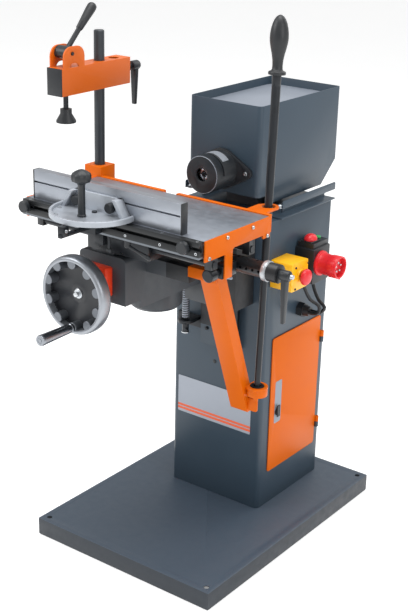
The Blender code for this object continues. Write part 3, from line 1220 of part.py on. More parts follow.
def build_index_bar():
    start = CARRIAGE_HALF - BAR_BOSS_LENGTH + PLATE + GAP
    ring_start = BAR_END
    flange_start = ring_start + RING_WIDTH
    flange_end = flange_start + FLANGE_WIDTH
    profile = [(BAR_RADIUS, start), (BAR_RADIUS, ring_start), (RING_RADIUS, ring_start),
               (RING_RADIUS, flange_start),
               (FLANGE_RADIUS, flange_start), (FLANGE_RADIUS, flange_end),
               (RATCHET_HUB_RADIUS * 0.5, flange_end),
               (RATCHET_HUB_RADIUS * 0.5, flange_end + RATCHET_HUB_LENGTH * 1.2)]
    bar = turned(profile, (0, BAR_Y, BAR_Z), (1, 0, 0), FINE)
    for row, pitch in enumerate(BAR_PITCHES):
        angle = math.tau * row / len(BAR_PITCHES)
        outward = Vector((0, -math.cos(angle), -math.sin(angle)))
        x = plunger_x()
        while x - pitch > CARRIAGE_HALF + BAR_HOLE_RADIUS * 2:
            x -= pitch
        while x < ring_start - BAR_HOLE_RADIUS * 1.5:
            foot = Vector((x, BAR_Y, BAR_Z)) + outward * (BAR_RADIUS - BAR_HOLE_DEPTH)
            bar = carved(bar, rod(foot, BAR_HOLE_DEPTH + OVERRUN, BAR_HOLE_RADIUS, outward, 8))
            x += pitch
    index_bar = piece("index_bar", bar, "steel", (start, BAR_Y, BAR_Z))
    hub = Vector((flange_end + GAP, BAR_Y, BAR_Z))
    handle = ratchet_handle(hub, Vector((1, 0, 0)), Vector((0, HANG_LEAN_SHARE, -1)),
                            RATCHET_HUB_RADIUS * 0.5 + GAP)
    return [index_bar, piece("index_handle", handle, "black", hub)]


def ratchet_handle(hub, axis, hang, bore_radius):
    """A clamping handle: a round hub, and a tapered arm that hangs from it."""
    hang = hang.normalized()
    body = turned([(RATCHET_HUB_RADIUS, 0), (RATCHET_HUB_RADIUS, RATCHET_HUB_LENGTH * 0.8),
                   (RATCHET_HUB_RADIUS * 0.75, RATCHET_HUB_LENGTH)], hub, axis, FINE)
    root = hub + axis * RATCHET_HUB_LENGTH * 0.5
    arm = turned([(RATCHET_ROOT_RADIUS, 0), (RATCHET_ROOT_RADIUS, RATCHET_ARM * 0.7),
                  (RATCHET_TIP_RADIUS, RATCHET_ARM * 0.97), (RATCHET_TIP_RADIUS * 0.6, RATCHET_ARM)], root,
                 hang, 12)
    body = joined(body, arm)
    bore = rod(hub - axis * OVERRUN, RATCHET_HUB_LENGTH * 1.5 + OVERRUN, bore_radius, axis, SMALL)
    return carved(body, bore)


def plunger_x():
    """The plunger stands in line with the end plate's leg."""
    return TABLE_HALF - PLUNGER_BLOCK_WIDTH / 2


def build_table():
    top = block((-TABLE_HALF, TABLE_FRONT, TABLE_TOP - TABLE_THICK), (TABLE_HALF, TABLE_BACK, TABLE_TOP))
    for side in (-1, 1):
        edge = sorted((side * TABLE_HALF, side * (TABLE_HALF - LUG_THICK)))
        for y in (GUIDE_FRONT, GUIDE_BACK):
            top = joined(top, block((edge[0], y - LUG_HALF, GUIDE_HEIGHT - LUG_DROP),
                                    (edge[1], y + LUG_HALF, TABLE_TOP - TABLE_THICK / 2)))
    for y in (GUIDE_FRONT, GUIDE_BACK):
        top = carved(top, rod((-TABLE_HALF - OVERRUN, y, GUIDE_HEIGHT), 2 * (TABLE_HALF + OVERRUN),
                              GUIDE_RADIUS + GAP,
                              (1, 0, 0), FINE))
    return piece("table_top", top, "aluminium")


def build_front_rail():
    back = TABLE_FRONT - GAP
    front = RAIL_FRONT
    low = SLOT_MIDDLE - SLOT_MOUTH / 2
    high = SLOT_MIDDLE + SLOT_MOUTH / 2
    deep_low = SLOT_MIDDLE - SLOT_HEIGHT / 2
    deep_high = SLOT_MIDDLE + SLOT_HEIGHT / 2
    outline = [(back, RAIL_BOTTOM), (front, RAIL_BOTTOM), (front, low), (front + SLOT_LIP, low),
               (front + SLOT_LIP, deep_low),
               (front + SLOT_DEPTH, deep_low), (front + SLOT_DEPTH, deep_high), (front + SLOT_LIP, deep_high),
               (front + SLOT_LIP, high), (front, high), (front, TABLE_TOP), (back, TABLE_TOP)]
    return piece("front_rail", prism("X", outline, -TABLE_HALF, TABLE_HALF), "black")


def build_end_plates():
    inner = TABLE_HALF + GAP
    outer = inner + PLATE
    top = TABLE_TOP
    low = TABLE_TOP - END_DROP
    waist = low + PLATE * 2
    fillet = PLATE * 1.5
    right = [(TABLE_FRONT, top), (TABLE_FRONT, low), (LEG_FRONT, low), (LEG_FRONT, LEG_BOTTOM),
             (LEG_BACK, LEG_BOTTOM)]
    right += arc((LEG_BACK + fillet, waist - fillet), fillet, 180, 90, 3)
    right += [(TABLE_BACK - LEG_BACK + LEG_FRONT, waist), (TABLE_BACK - LEG_BACK + LEG_FRONT, low),
              (TABLE_BACK, low),
              (TABLE_BACK, top)]
    block_low = BAR_Z - PLUNGER_BLOCK_HEIGHT / 2
    block_back = BAR_Y - RING_RADIUS - RING_CLEARANCE
    body = prism("X", right, inner, outer)
    right_plate = piece("end_plate_right", body, "orange")
    holder = block((TABLE_HALF - PLUNGER_BLOCK_WIDTH, LEG_FRONT - PLATE, block_low),
                   (TABLE_HALF, block_back, block_low + PLUNGER_BLOCK_HEIGHT))
    bore = rod((plunger_x(), LEG_FRONT - PLATE - OVERRUN, BAR_Z),
               block_back - LEG_FRONT + PLATE + 2 * OVERRUN,
               PLUNGER_RADIUS + GAP, (0, 1, 0), SMALL)
    sink = rod((plunger_x(), LEG_FRONT - PLATE - OVERRUN, BAR_Z), PLUNGER_STROKE + PLATE + OVERRUN,
               PLUNGER_NECK_RADIUS + GAP, (0, 1, 0), FINE)
    plunger_holder = piece("plunger_holder", carved(holder, bore, sink), "black")
    left = [(TABLE_FRONT, top), (TABLE_FRONT, low), (COLUMN_Y + SOCKET_HALF, low),
            (COLUMN_Y + SOCKET_HALF, top)]
    plate = prism("X", left, -outer, -inner)
    clear = block((-TABLE_HALF - GAP, TABLE_BACK - SOCKET_HALF * 2, SOCKET_BOTTOM - OVERRUN),
                  (COLUMN_X + SOCKET_HALF + OVERRUN, TABLE_BACK + GAP * 2, SOCKET_TOP + OVERRUN))
    socket = carved(block((COLUMN_X - SOCKET_HALF, COLUMN_Y - SOCKET_HALF, SOCKET_BOTTOM),
                          (COLUMN_X + SOCKET_HALF, COLUMN_Y + SOCKET_HALF, SOCKET_TOP)), clear)
    bore = rod((COLUMN_X, COLUMN_Y, SOCKET_BOTTOM + PLATE), SOCKET_TOP, COLUMN_RADIUS + GAP, steps=FINE)
    left_plate = piece("end_plate_left", carved(joined(plate, socket), bore), "orange")
    return [right_plate, plunger_holder, left_plate]


def build_rear_strip():
    """Strip behind the table with the plate that the lever passes through."""
    front = TABLE_BACK + GAP
    back = front + STRIP_DEPTH
    left = COLUMN_X + SOCKET_HALF + GAP * 2
    strip = block((left, front, TABLE_TOP - STRIP_HEIGHT), (TABLE_HALF, back, TABLE_TOP + GUIDE_PLATE / 2))
    notch = block((STRIP_NOTCH_LEFT, front - OVERRUN, TABLE_TOP - STRIP_NOTCH_DEPTH),
                  (STRIP_NOTCH_RIGHT, back + OVERRUN, TABLE_TOP + GUIDE_PLATE + OVERRUN))
    hole = GUIDE_CENTRE
    reach = GUIDE_HOLE_RADIUS + PLATE * 3
    outline = [(hole.x - reach, back - PLATE), (hole.x + reach * 0.8, back - PLATE),
               (hole.x + reach * 0.8, hole.y - PLATE)]
    outline += arc((hole.x, hole.y), GUIDE_HOLE_RADIUS + PLATE * 2, 10, 125, 6)
    outline += [(hole.x - reach, hole.y)]
    plate = prism("Z", outline, TABLE_TOP - GUIDE_PLATE / 2, TABLE_TOP + GUIDE_PLATE / 2)
    opening = rod((hole.x, hole.y, TABLE_TOP - OVERRUN - GUIDE_PLATE), 2 * (GUIDE_PLATE + OVERRUN),
                  GUIDE_HOLE_RADIUS,
                  steps=FINE)
    return piece("rear_strip", carved(joined(strip, plate), notch, opening), "orange")


def build_plunger():
    """Sprung index pin with its pull knob, parked just clear of the pitch bar."""
    x = plunger_x()
    tip = BAR_Y - BAR_RADIUS - PLUNGER_PARK
    neck_back = LEG_FRONT - PLATE - GAP * 2
    neck_front = neck_back - PLUNGER_NECK
    knob = neck_front - PLUNGER_KNOB_LENGTH
    profile = [(PLUNGER_KNOB_RADIUS * 0.8, 0), (PLUNGER_KNOB_RADIUS, PLATE / 2),
               (PLUNGER_KNOB_RADIUS, neck_front - knob), (PLUNGER_NECK_RADIUS, neck_front - knob),
               (PLUNGER_NECK_RADIUS, neck_back - knob), (PLUNGER_RADIUS, neck_back - knob),
               (PLUNGER_RADIUS, tip - knob)]
    plunger = turned(profile, (x, knob, BAR_Z), (0, 1, 0), SMALL)
    return piece("index_plunger", plunger, "black", (x, tip, BAR_Z))


def build_stops():
    made = []
    inside = RAIL_FRONT + SLOT_LIP + GAP
    for name, x in (("left", STOP_LEFT), ("right", STOP_RIGHT)):
        nut = block((x - STOP_NUT_LENGTH / 2, inside, SLOT_MIDDLE - SLOT_HEIGHT / 2 + GAP),
                    (x + STOP_NUT_LENGTH / 2, RAIL_FRONT + SLOT_DEPTH - GAP,
                     SLOT_MIDDLE + SLOT_HEIGHT / 2 - GAP))
        bore = rod((x, inside - OVERRUN, SLOT_MIDDLE), SLOT_DEPTH + OVERRUN * 2, STOP_STUD_RADIUS + GAP,
                   (0, 1, 0), SMALL)
        made.append(piece("stop_nut_" + name, carved(nut, bore), "steel"))
        start = RAIL_FRONT - GAP - STOP_KNOB_LENGTH
        profile = [(STOP_KNOB_RADIUS * 0.85, 0), (STOP_KNOB_RADIUS, PLATE / 2),
                   (STOP_KNOB_RADIUS, STOP_KNOB_LENGTH * 0.7),
                   (STOP_KNOB_RADIUS * 0.55, STOP_KNOB_LENGTH), (STOP_STUD_RADIUS, STOP_KNOB_LENGTH),
                   (STOP_STUD_RADIUS, STOP_KNOB_LENGTH + SLOT_DEPTH - PLATE / 2)]
        made.append(piece("stop_knob_" + name, turned(profile, (x, start, SLOT_MIDDLE), (0, 1, 0), SMALL),
                          "black",
                          (x, start, SLOT_MIDDLE)))
    return made


def build_gauge_slide():
    """Block on the front rail that carries the mitre gauge's pivot."""
    half = GAUGE_BLOCK_WIDTH / 2
    front = RAIL_FRONT - GAP
    body = block((GAUGE_X - half, front - GAUGE_BLOCK_DEPTH, RAIL_BOTTOM + PLATE),
                 (GAUGE_X + half, front, GAUGE_FLOOR + GAUGE_TONGUE))
    neck = block((GAUGE_X - half, front - PLATE, SLOT_MIDDLE - SLOT_MOUTH / 2 + GAP),
                 (GAUGE_X + half, RAIL_FRONT + SLOT_LIP + PLATE, SLOT_MIDDLE + SLOT_MOUTH / 2 - GAP))
    nut = block((GAUGE_X - half, RAIL_FRONT + SLOT_LIP + GAP, SLOT_MIDDLE - SLOT_HEIGHT / 2 + GAP),
                (GAUGE_X + half, RAIL_FRONT + SLOT_DEPTH - GAP, SLOT_MIDDLE + SLOT_HEIGHT / 2 - GAP))
    tongue = block((GAUGE_X - GAUGE_TONGUE_WIDTH / 2, GAUGE_Y - GAUGE_SLOT_RADIUS - PLATE * 3, GAUGE_FLOOR),
                   (GAUGE_X + GAUGE_TONGUE_WIDTH / 2, GAUGE_Y + GAUGE_PIVOT_RADIUS + PLATE / 2,
                    GAUGE_FLOOR + GAUGE_TONGUE))
    pin = rod((GAUGE_X, GAUGE_Y, GAUGE_FLOOR), GAUGE_TONGUE + GAP + GAUGE_THICK, GAUGE_PIVOT_RADIUS,
              steps=SMALL)
    body = joined(body, neck, nut, tongue, pin)
    lock = rod((GAUGE_X, GAUGE_Y - GAUGE_SLOT_RADIUS, GAUGE_FLOOR - OVERRUN), GAUGE_TONGUE + 2 * OVERRUN,
               STOP_STUD_RADIUS + GAP, steps=SMALL)
    return piece("gauge_slide", carved(body, lock), "black")


def gauge_head_top():
    return GAUGE_FLOOR + GAUGE_TONGUE + GAP + GAUGE_THICK


def build_gauge_head():
    """Half disc with its arc slot and the wall that the fence is bolted to."""
    floor = GAUGE_FLOOR + GAUGE_TONGUE + GAP
    top = gauge_head_top()
    wall_back = FENCE_FRONT - GAP
    wall_front = wall_back - WALL_THICK
    centre = (GAUGE_X, GAUGE_Y)
    tilt = math.degrees(math.asin(((wall_front + wall_back) / 2 - GAUGE_Y) / GAUGE_RADIUS))
    disc = prism("Z", arc(centre, GAUGE_RADIUS, 180 - tilt, 360 + tilt, 28), floor, top)
    rise = SWIVEL_LIMIT_DEG + math.degrees((STOP_STUD_RADIUS + PLATE / 2) / GAUGE_SLOT_RADIUS)
    half = GAUGE_SLOT_WIDTH / 2
    slot = arc(centre, GAUGE_SLOT_RADIUS + half, 270 - rise, 270 + rise, 10)
    slot += list(reversed(arc(centre, GAUGE_SLOT_RADIUS - half, 270 - rise, 270 + rise, 10)))
    disc = carved(disc, prism("Z", slot, floor - OVERRUN, top + OVERRUN))
    disc = carved(disc, rod((GAUGE_X, GAUGE_Y, floor - OVERRUN), GAUGE_THICK + 2 * OVERRUN,
                            GAUGE_PIVOT_RADIUS + GAP,
                            steps=SMALL))
    flare = PLATE * 5
    wall = prism("Y", [(WALL_LEFT - flare, floor), (WALL_RIGHT + flare, floor), (WALL_RIGHT + flare, top),
                       (WALL_RIGHT, TABLE_TOP + WALL_HEIGHT), (WALL_LEFT, TABLE_TOP + WALL_HEIGHT),
                       (WALL_LEFT - flare, top)], wall_front, wall_back)
    body = joined(disc, wall)
    for x in (WALL_LEFT - PLATE, WALL_RIGHT + PLATE):
        root = wall_front + PLATE / 2
        toe = wall_front - WALL_HEIGHT
        rib = prism("X", [(root, TABLE_TOP + WALL_HEIGHT - PLATE), (root, top - PLATE / 2),
                          (toe, top - PLATE / 2),
                          (toe, top + PLATE / 2)], x - PLATE, x + PLATE)
        body = joined(body, rib)
    for x in (FENCE_KNOB_LEFT, FENCE_KNOB_RIGHT):
        body = carved(body, rod((x, wall_front - OVERRUN, FENCE_FLOOR + FENCE_SLOT_RISE),
                                WALL_THICK + 2 * OVERRUN,
                                FENCE_STUD_RADIUS + GAP, (0, 1, 0), SMALL))
    return piece("gauge_head", body, "aluminium", (GAUGE_X, GAUGE_Y, floor))


def build_gauge_lock():
    """Tall locking handle: stem, mushroom knob and the screw into the slide block."""
    top = gauge_head_top()
    y = GAUGE_Y - GAUGE_SLOT_RADIUS
    start = GAUGE_FLOOR - PLATE / 4
    stem = top + GAP
    knob = stem + LOCK_STEM_HEIGHT
    profile = [(STOP_STUD_RADIUS, start), (STOP_STUD_RADIUS, stem), (LOCK_STEM_RADIUS, stem),
               (LOCK_STEM_RADIUS * 0.8, knob - PLATE), (LOCK_KNOB_RADIUS * 0.55, knob),
               (LOCK_KNOB_RADIUS, knob + LOCK_KNOB_HEIGHT * 0.45),
               (LOCK_KNOB_RADIUS * 0.9, knob + LOCK_KNOB_HEIGHT * 0.75),
               (LOCK_KNOB_RADIUS * 0.4, knob + LOCK_KNOB_HEIGHT)]
    return piece("gauge_lock", turned(profile, (GAUGE_X, y, 0), steps=SMALL), "black", (GAUGE_X, y, stem))


def build_fence():
    front = FENCE_FRONT
    back = FENCE_FRONT + FENCE_DEPTH
    top = FENCE_FLOOR + FENCE_HEIGHT
    mid = FENCE_FLOOR + FENCE_SLOT_RISE
    low = mid - FENCE_SLOT_MOUTH / 2
    high = mid + FENCE_SLOT_MOUTH / 2
    deep_low = mid - FENCE_SLOT_HEIGHT / 2
    deep_high = mid + FENCE_SLOT_HEIGHT / 2
    lip = front + FENCE_SLOT_LIP
    deep = lip + FENCE_SLOT_DEPTH
    groove = FENCE_FLOOR + FENCE_GROOVE_RISE
    nick = PLATE / 4
    outline = [(front, FENCE_FLOOR), (front, low), (lip, low), (lip, deep_low), (deep, deep_low),
               (deep, deep_high),
               (lip, deep_high), (lip, high), (front, high), (front, groove - nick), (front + nick, groove),
               (front, groove + nick), (front, top), (back, top), (back, FENCE_FLOOR)]
    body = prism("X", outline, FENCE_LEFT, FENCE_RIGHT)
    for start in (FENCE_LEFT - FENCE_CAP, FENCE_RIGHT):
        body = joined(body, block((start, front, FENCE_FLOOR), (start + FENCE_CAP, back, top)))
    fence = piece("fence", body, "aluminium")
    wall_front = FENCE_FRONT - GAP - WALL_THICK
    made = [fence]
    for name, x in (("left", FENCE_KNOB_LEFT), ("right", FENCE_KNOB_RIGHT)):
        start = wall_front - GAP - FENCE_KNOB_LENGTH
        stud_end = lip + FENCE_SLOT_DEPTH / 2 - start
        head = FENCE_SLOT_HEIGHT / 2 - GAP * 2
        profile = [(FENCE_KNOB_RADIUS * 0.85, 0), (FENCE_KNOB_RADIUS, PLATE / 2),
                   (FENCE_KNOB_RADIUS, FENCE_KNOB_LENGTH),
                   (FENCE_STUD_RADIUS, FENCE_KNOB_LENGTH), (FENCE_STUD_RADIUS, lip + GAP * 2 - start),
                   (head, lip + GAP * 2 - start), (head, stud_end)]
        made.append(piece("fence_knob_" + name, turned(profile, (x, start, mid), (0, 1, 0), SMALL), "black",
                          (x, start, mid)))
    return made


def build_column():
    foot = SOCKET_BOTTOM + PLATE + GAP
    edge = PLATE / 2
    profile = [(COLUMN_RADIUS, foot), (COLUMN_RADIUS, COLUMN_TOP - edge), (COLUMN_RADIUS - edge, COLUMN_TOP)]
    return piece("clamp_column", turned(profile, (COLUMN_X, COLUMN_Y, 0), steps=FINE), "black",
                 (COLUMN_X, COLUMN_Y, foot))


def ear_outline():
    """A cheek's side outline: round shoulders, and a half-oval cut where it meets the tube."""
    foot = ARM_CEILING - SHEET / 2
    top = CAM_AXIS.z + EAR_TOP_RISE
    middle = (EAR_FRONT + EAR_BACK) / 2
    outline = [(EAR_FRONT, foot)]
    for across, up in arc((0, 0), 1, 180, 0, 8):
        outline.append((middle + EAR_ARCH_HALF * across, foot + (EAR_ARCH_HEIGHT + SHEET / 2) * up))
    outline += [(EAR_BACK, foot)]
    outline += arc((EAR_BACK - EAR_CORNER, top - EAR_CORNER), EAR_CORNER, 0, 90, 5)
    outline += arc((EAR_FRONT + EAR_CORNER, top - EAR_CORNER), EAR_CORNER, 90, 180, 5)
    return outline


def build_clamp_arm():
    """Square tube with two cheeks for the cam, on the column."""
    half = ARM_WIDTH / 2
    body = block((COLUMN_X - half, ARM_TIP, ARM_FLOOR), (COLUMN_X + half, ARM_TAIL, ARM_CEILING))
    hollow = block((COLUMN_X - half + SHEET, ARM_TIP + SHEET, ARM_FLOOR + SHEET),
                   (COLUMN_X + half - SHEET, ARM_TAIL - SHEET, ARM_CEILING - SHEET))
    body = carved(body, hollow)
    sleeve = turned([(COLUMN_RADIUS + PLATE, ARM_FLOOR + SHEET / 2),
                     (COLUMN_RADIUS + PLATE, ARM_CEILING - SHEET / 2)],
                    (COLUMN_X, COLUMN_Y, 0), steps=FINE)
    body = joined(body, sleeve)
    for side in (-1, 1):
        edge = sorted((COLUMN_X + side * half, COLUMN_X + side * (half - EAR_THICK)))
        pivot = (CAM_AXIS.y, CAM_AXIS.z)
        cheek = prism("X", ear_outline(), edge[0], edge[1])
        body = joined(body, cheek)
        body = carved(body, rod((edge[0] - OVERRUN, *pivot), EAR_THICK + 2 * OVERRUN, CAM_PIN_RADIUS + GAP,
                                (1, 0, 0), SMALL))
    column_way = rod((COLUMN_X, COLUMN_Y, ARM_FLOOR - OVERRUN), ARM_HEIGHT + 2 * OVERRUN,
                     COLUMN_RADIUS + RUNNING, steps=FINE)
    spare_way = rod((COLUMN_X, SPARE_HOLE_Y, ARM_FLOOR - OVERRUN), ARM_HEIGHT + 2 * OVERRUN,
                    SPARE_HOLE_RADIUS, steps=FINE)
    rod_way = rod((COLUMN_X, CAM_Y, ARM_FLOOR - OVERRUN), ARM_HEIGHT + 2 * OVERRUN,
                  CLAMP_ROD_RADIUS + RUNNING, steps=SMALL)
    screw_way = rod((COLUMN_X, ARM_TAIL - SHEET - OVERRUN, clamp_screw_z()), SHEET + 2 * OVERRUN,
                    RATCHET_HUB_RADIUS * 0.5 + GAP, (0, 1, 0), SMALL)
    body = carved(body, column_way, spare_way, rod_way, screw_way)
    return piece("clamp_arm", body, "orange", (COLUMN_X, COLUMN_Y, ARM_FLOOR))


def clamp_screw_z():
    return ARM_FLOOR + ARM_HEIGHT * CLAMP_SCREW_SHARE


def cam_outline():
    """Spiral cam: the radius over the rod grows in step with the lever's turn."""
    points = []
    steps = FINE
    for i in range(steps):
        back = 360 * i / steps
        if back <= CAM_TURN_DEG:
            share = back / CAM_TURN_DEG
        else:
            share = (360 - back) / (360 - CAM_TURN_DEG)
        radius = CAM_RADIUS + CAM_THROW * share
        angle = math.radians(-90 - back)
        points.append((CAM_AXIS.y + radius * math.cos(angle), CAM_AXIS.z + radius * math.sin(angle)))
    return points


def build_clamp_parts():
    half = ARM_WIDTH / 2 - EAR_THICK - GAP
    pin_half = ARM_WIDTH / 2 + PLATE / 2
    angle = math.radians(CAM_ANGLE_DEG)
    reach = Vector((0, math.cos(angle), math.sin(angle)))
    disc = prism("X", cam_outline(), CAM_AXIS.x - half, CAM_AXIS.x + half)
    pin = rod(CAM_AXIS - Vector((pin_half, 0, 0)), 2 * pin_half, CAM_PIN_RADIUS, (1, 0, 0), SMALL)
    start = CAM_AXIS + reach * CAM_RADIUS * 0.5
    length = CAM_RADIUS * 0.5 + CAM_ROD_LENGTH
    stalk = turned([(CAM_ROD_RADIUS, 0), (CAM_ROD_RADIUS, length),
                    (CAM_GRIP_RADIUS * 0.65, length + PLATE / 2),
                    (CAM_GRIP_RADIUS, length + CAM_GRIP_LENGTH * 0.85),
                    (CAM_GRIP_RADIUS * 0.6, length + CAM_GRIP_LENGTH)],
                   start, reach, SMALL)
    cam = piece("cam_lever", joined(disc, pin, stalk), "black", CAM_AXIS)
    collar = CLAMP_FOOT_BOTTOM + CLAMP_FOOT_HEIGHT
    top = CAM_AXIS.z - CAM_RADIUS - CAM_SLACK
    plunger = turned([(CLAMP_ROD_RADIUS, CLAMP_FOOT_BOTTOM + CLAMP_FOOT_HEIGHT / 2), (CLAMP_ROD_RADIUS, top)],
                     (COLUMN_X, CAM_Y, 0), steps=SMALL)
    plunger = piece("clamp_rod", plunger, "steel", (COLUMN_X, CAM_Y, top))
    foot = turned([(CLAMP_FOOT_RADIUS, CLAMP_FOOT_BOTTOM), (CLAMP_FOOT_RADIUS, CLAMP_FOOT_BOTTOM + PLATE),
                   (CLAMP_COLLAR_RADIUS, CLAMP_FOOT_BOTTOM + CLAMP_FOOT_HEIGHT * 0.65),
                   (CLAMP_COLLAR_RADIUS, collar)],
                  (COLUMN_X, CAM_Y, 0), steps=FINE)
    socket = rod((COLUMN_X, CAM_Y, CLAMP_FOOT_BOTTOM + CLAMP_FOOT_HEIGHT / 2 - GAP), CLAMP_FOOT_HEIGHT,
                 CLAMP_ROD_RADIUS + GAP, steps=SMALL)
    foot = piece("clamp_foot", carved(foot, socket), "rubber", (COLUMN_X, CAM_Y, CLAMP_FOOT_BOTTOM))
    hub = Vector((COLUMN_X, ARM_TAIL + GAP, clamp_screw_z()))
    handle = ratchet_handle(hub, Vector((0, 1, 0)), Vector((0, HANG_LEAN_SHARE, -1)),
                            RATCHET_HUB_RADIUS * 0.3)
    shank = turned([(RATCHET_HUB_RADIUS * 0.5, 0),
                    (RATCHET_HUB_RADIUS * 0.5, ARM_TAIL - COLUMN_Y - COLUMN_RADIUS
                                                     + RATCHET_HUB_LENGTH / 2 - PLATE * 2)],
                   hub + Vector((0, RATCHET_HUB_LENGTH / 2, 0)), (0, -1, 0), SMALL)
    handle = joined(handle, shank)
    return [cam, plunger, foot, piece("clamp_handle", handle, "black", hub)]


def build_stop_box():
    face = SIDE + GAP
    front = face + STOP_BOX_DEPTH
    outline = rounded((STOP_BOX_FRONT, STOP_BOX_BOTTOM),
                      (STOP_BOX_FRONT + STOP_BOX_WIDTH, STOP_BOX_BOTTOM + STOP_BOX_WIDTH),
                      PLATE, 2)
    y = STOP_BOX_FRONT + STOP_BOX_WIDTH / 2
    z = STOP_BOX_BOTTOM + STOP_BOX_WIDTH / 2
    bezel = rod((front - PLATE, y, z), PLATE + BEZEL_HEIGHT, BEZEL_RADIUS, (1, 0, 0), FINE)
    bore = rod((front - STOP_BOX_DEPTH / 2, y, z), STOP_BOX_DEPTH, MUSHROOM_STEM + GAP, (1, 0, 0), FINE)
    box = piece("stop_box", carved(joined(prism("X", outline, face, front), bezel), bore), "yellow")
    seat = front + BEZEL_HEIGHT + STOP_TRAVEL + GAP
    profile = [(MUSHROOM_STEM, -STOP_BOX_DEPTH / 4), (MUSHROOM_STEM, 0), (MUSHROOM_RADIUS, 0),
               (MUSHROOM_RADIUS, MUSHROOM_RISE * 0.5), (MUSHROOM_RADIUS * 0.8, MUSHROOM_RISE * 0.85),
               (MUSHROOM_RADIUS * 0.4, MUSHROOM_RISE)]
    button = piece("stop_button", turned(profile, (seat, y, z), (1, 0, 0), FINE), "red", (seat, y, z))
    return [box, button]


def build_switch():
    face = SIDE + GAP
    front = face + SWITCH_DEPTH
    top = SWITCH_BOTTOM + SWITCH_HEIGHT
    outline = rounded((SWITCH_FRONT, SWITCH_BOTTOM), (SWITCH_FRONT + SWITCH_WIDTH, top), PLATE, 2)
    plinth = block((face + PLINTH_INSET, SWITCH_FRONT + PLINTH_INSET, top - PLATE),
                   (front - PLINTH_INSET, SWITCH_FRONT + SWITCH_WIDTH - PLINTH_INSET, top + PLINTH_HEIGHT))
    deck = top + PLINTH_HEIGHT
    x = (face + front) / 2
    start_y = SWITCH_FRONT + SWITCH_WIDTH - PLINTH_INSET - START_RADIUS * 1.6
    well = rod((x, start_y, top - PLATE), PLINTH_HEIGHT * 3, START_RADIUS + GAP, steps=SMALL)
    box = piece("switch_box", carved(joined(prism("X", outline, face, front), plinth), well), "black")
    hinge_y = SWITCH_FRONT + PLINTH_INSET + FLAP_LENGTH
    hinge = Vector((x, hinge_y, deck + FLAP_HINGE_RADIUS + GAP))
    low = deck + GAP
    outline = [(SWITCH_FRONT + PLINTH_INSET, low), (hinge_y - FLAP_HINGE_RADIUS, low),
               (hinge_y - FLAP_HINGE_RADIUS, deck + FLAP_HEIGHT * 0.4),
               (hinge_y - FLAP_LENGTH * 0.35, deck + FLAP_HEIGHT),
               (SWITCH_FRONT + PLINTH_INSET + PLATE, deck + FLAP_HEIGHT * 0.8)]
    flap = prism("X", outline, x - FLAP_WIDTH / 2, x + FLAP_WIDTH / 2)
    barrel = rod(hinge - Vector((FLAP_WIDTH / 2, FLAP_HINGE_RADIUS * 0.2, 0)), FLAP_WIDTH,
                 FLAP_HINGE_RADIUS, (1, 0, 0), SMALL)
    flap = piece("stop_flap", joined(flap, barrel), "red", hinge)
    start = turned([(START_RADIUS, deck - PLATE), (START_RADIUS, deck + START_RISE - PLATE / 4),
                    (START_RADIUS - PLATE / 4, deck + START_RISE)], (x, start_y, 0), steps=SMALL)
    return [box, flap, piece("start_button", start, "green", (x, start_y, deck))]


def build_inlet():
    seat = SIDE + GAP + SWITCH_DEPTH + GAP
    foot = (seat, INLET_Y, INLET_Z)
    body = turned([(INLET_FLANGE_RADIUS, 0), (INLET_FLANGE_RADIUS, INLET_FLANGE),
                   (INLET_RADIUS * 0.94, INLET_FLANGE),
                   (INLET_RADIUS * 0.94, INLET_LENGTH * 0.6), (INLET_RADIUS, INLET_LENGTH * 0.66),
                   (INLET_RADIUS, INLET_FLANGE + INLET_LENGTH)], foot, (1, 0, 0), FINE)
    mouth = rod((seat + INLET_FLANGE * 1.5, INLET_Y, INLET_Z), INLET_LENGTH + OVERRUN,
                INLET_RADIUS - INLET_WALL, (1, 0, 0), FINE)
    key = block((seat + INLET_LENGTH * 0.5, INLET_Y - PLATE / 2, INLET_Z - INLET_RADIUS - PLATE / 2),
                (seat + INLET_FLANGE + INLET_LENGTH, INLET_Y + PLATE / 2,
                 INLET_Z - INLET_RADIUS + INLET_WALL / 2))
    body = joined(carved(body, mouth), key)
    for i in range(INLET_PINS):
        angle = math.tau * (i + 0.5) / INLET_PINS
        pin = rod((seat + INLET_FLANGE, INLET_Y + INLET_PIN_CIRCLE * math.sin(angle),
                   INLET_Z - INLET_PIN_CIRCLE * math.cos(angle)),
                  INLET_PIN_LENGTH, INLET_PIN_RADIUS, (1, 0, 0), SMALL)
        body = joined(body, pin)
    return piece("power_inlet", body, "red")


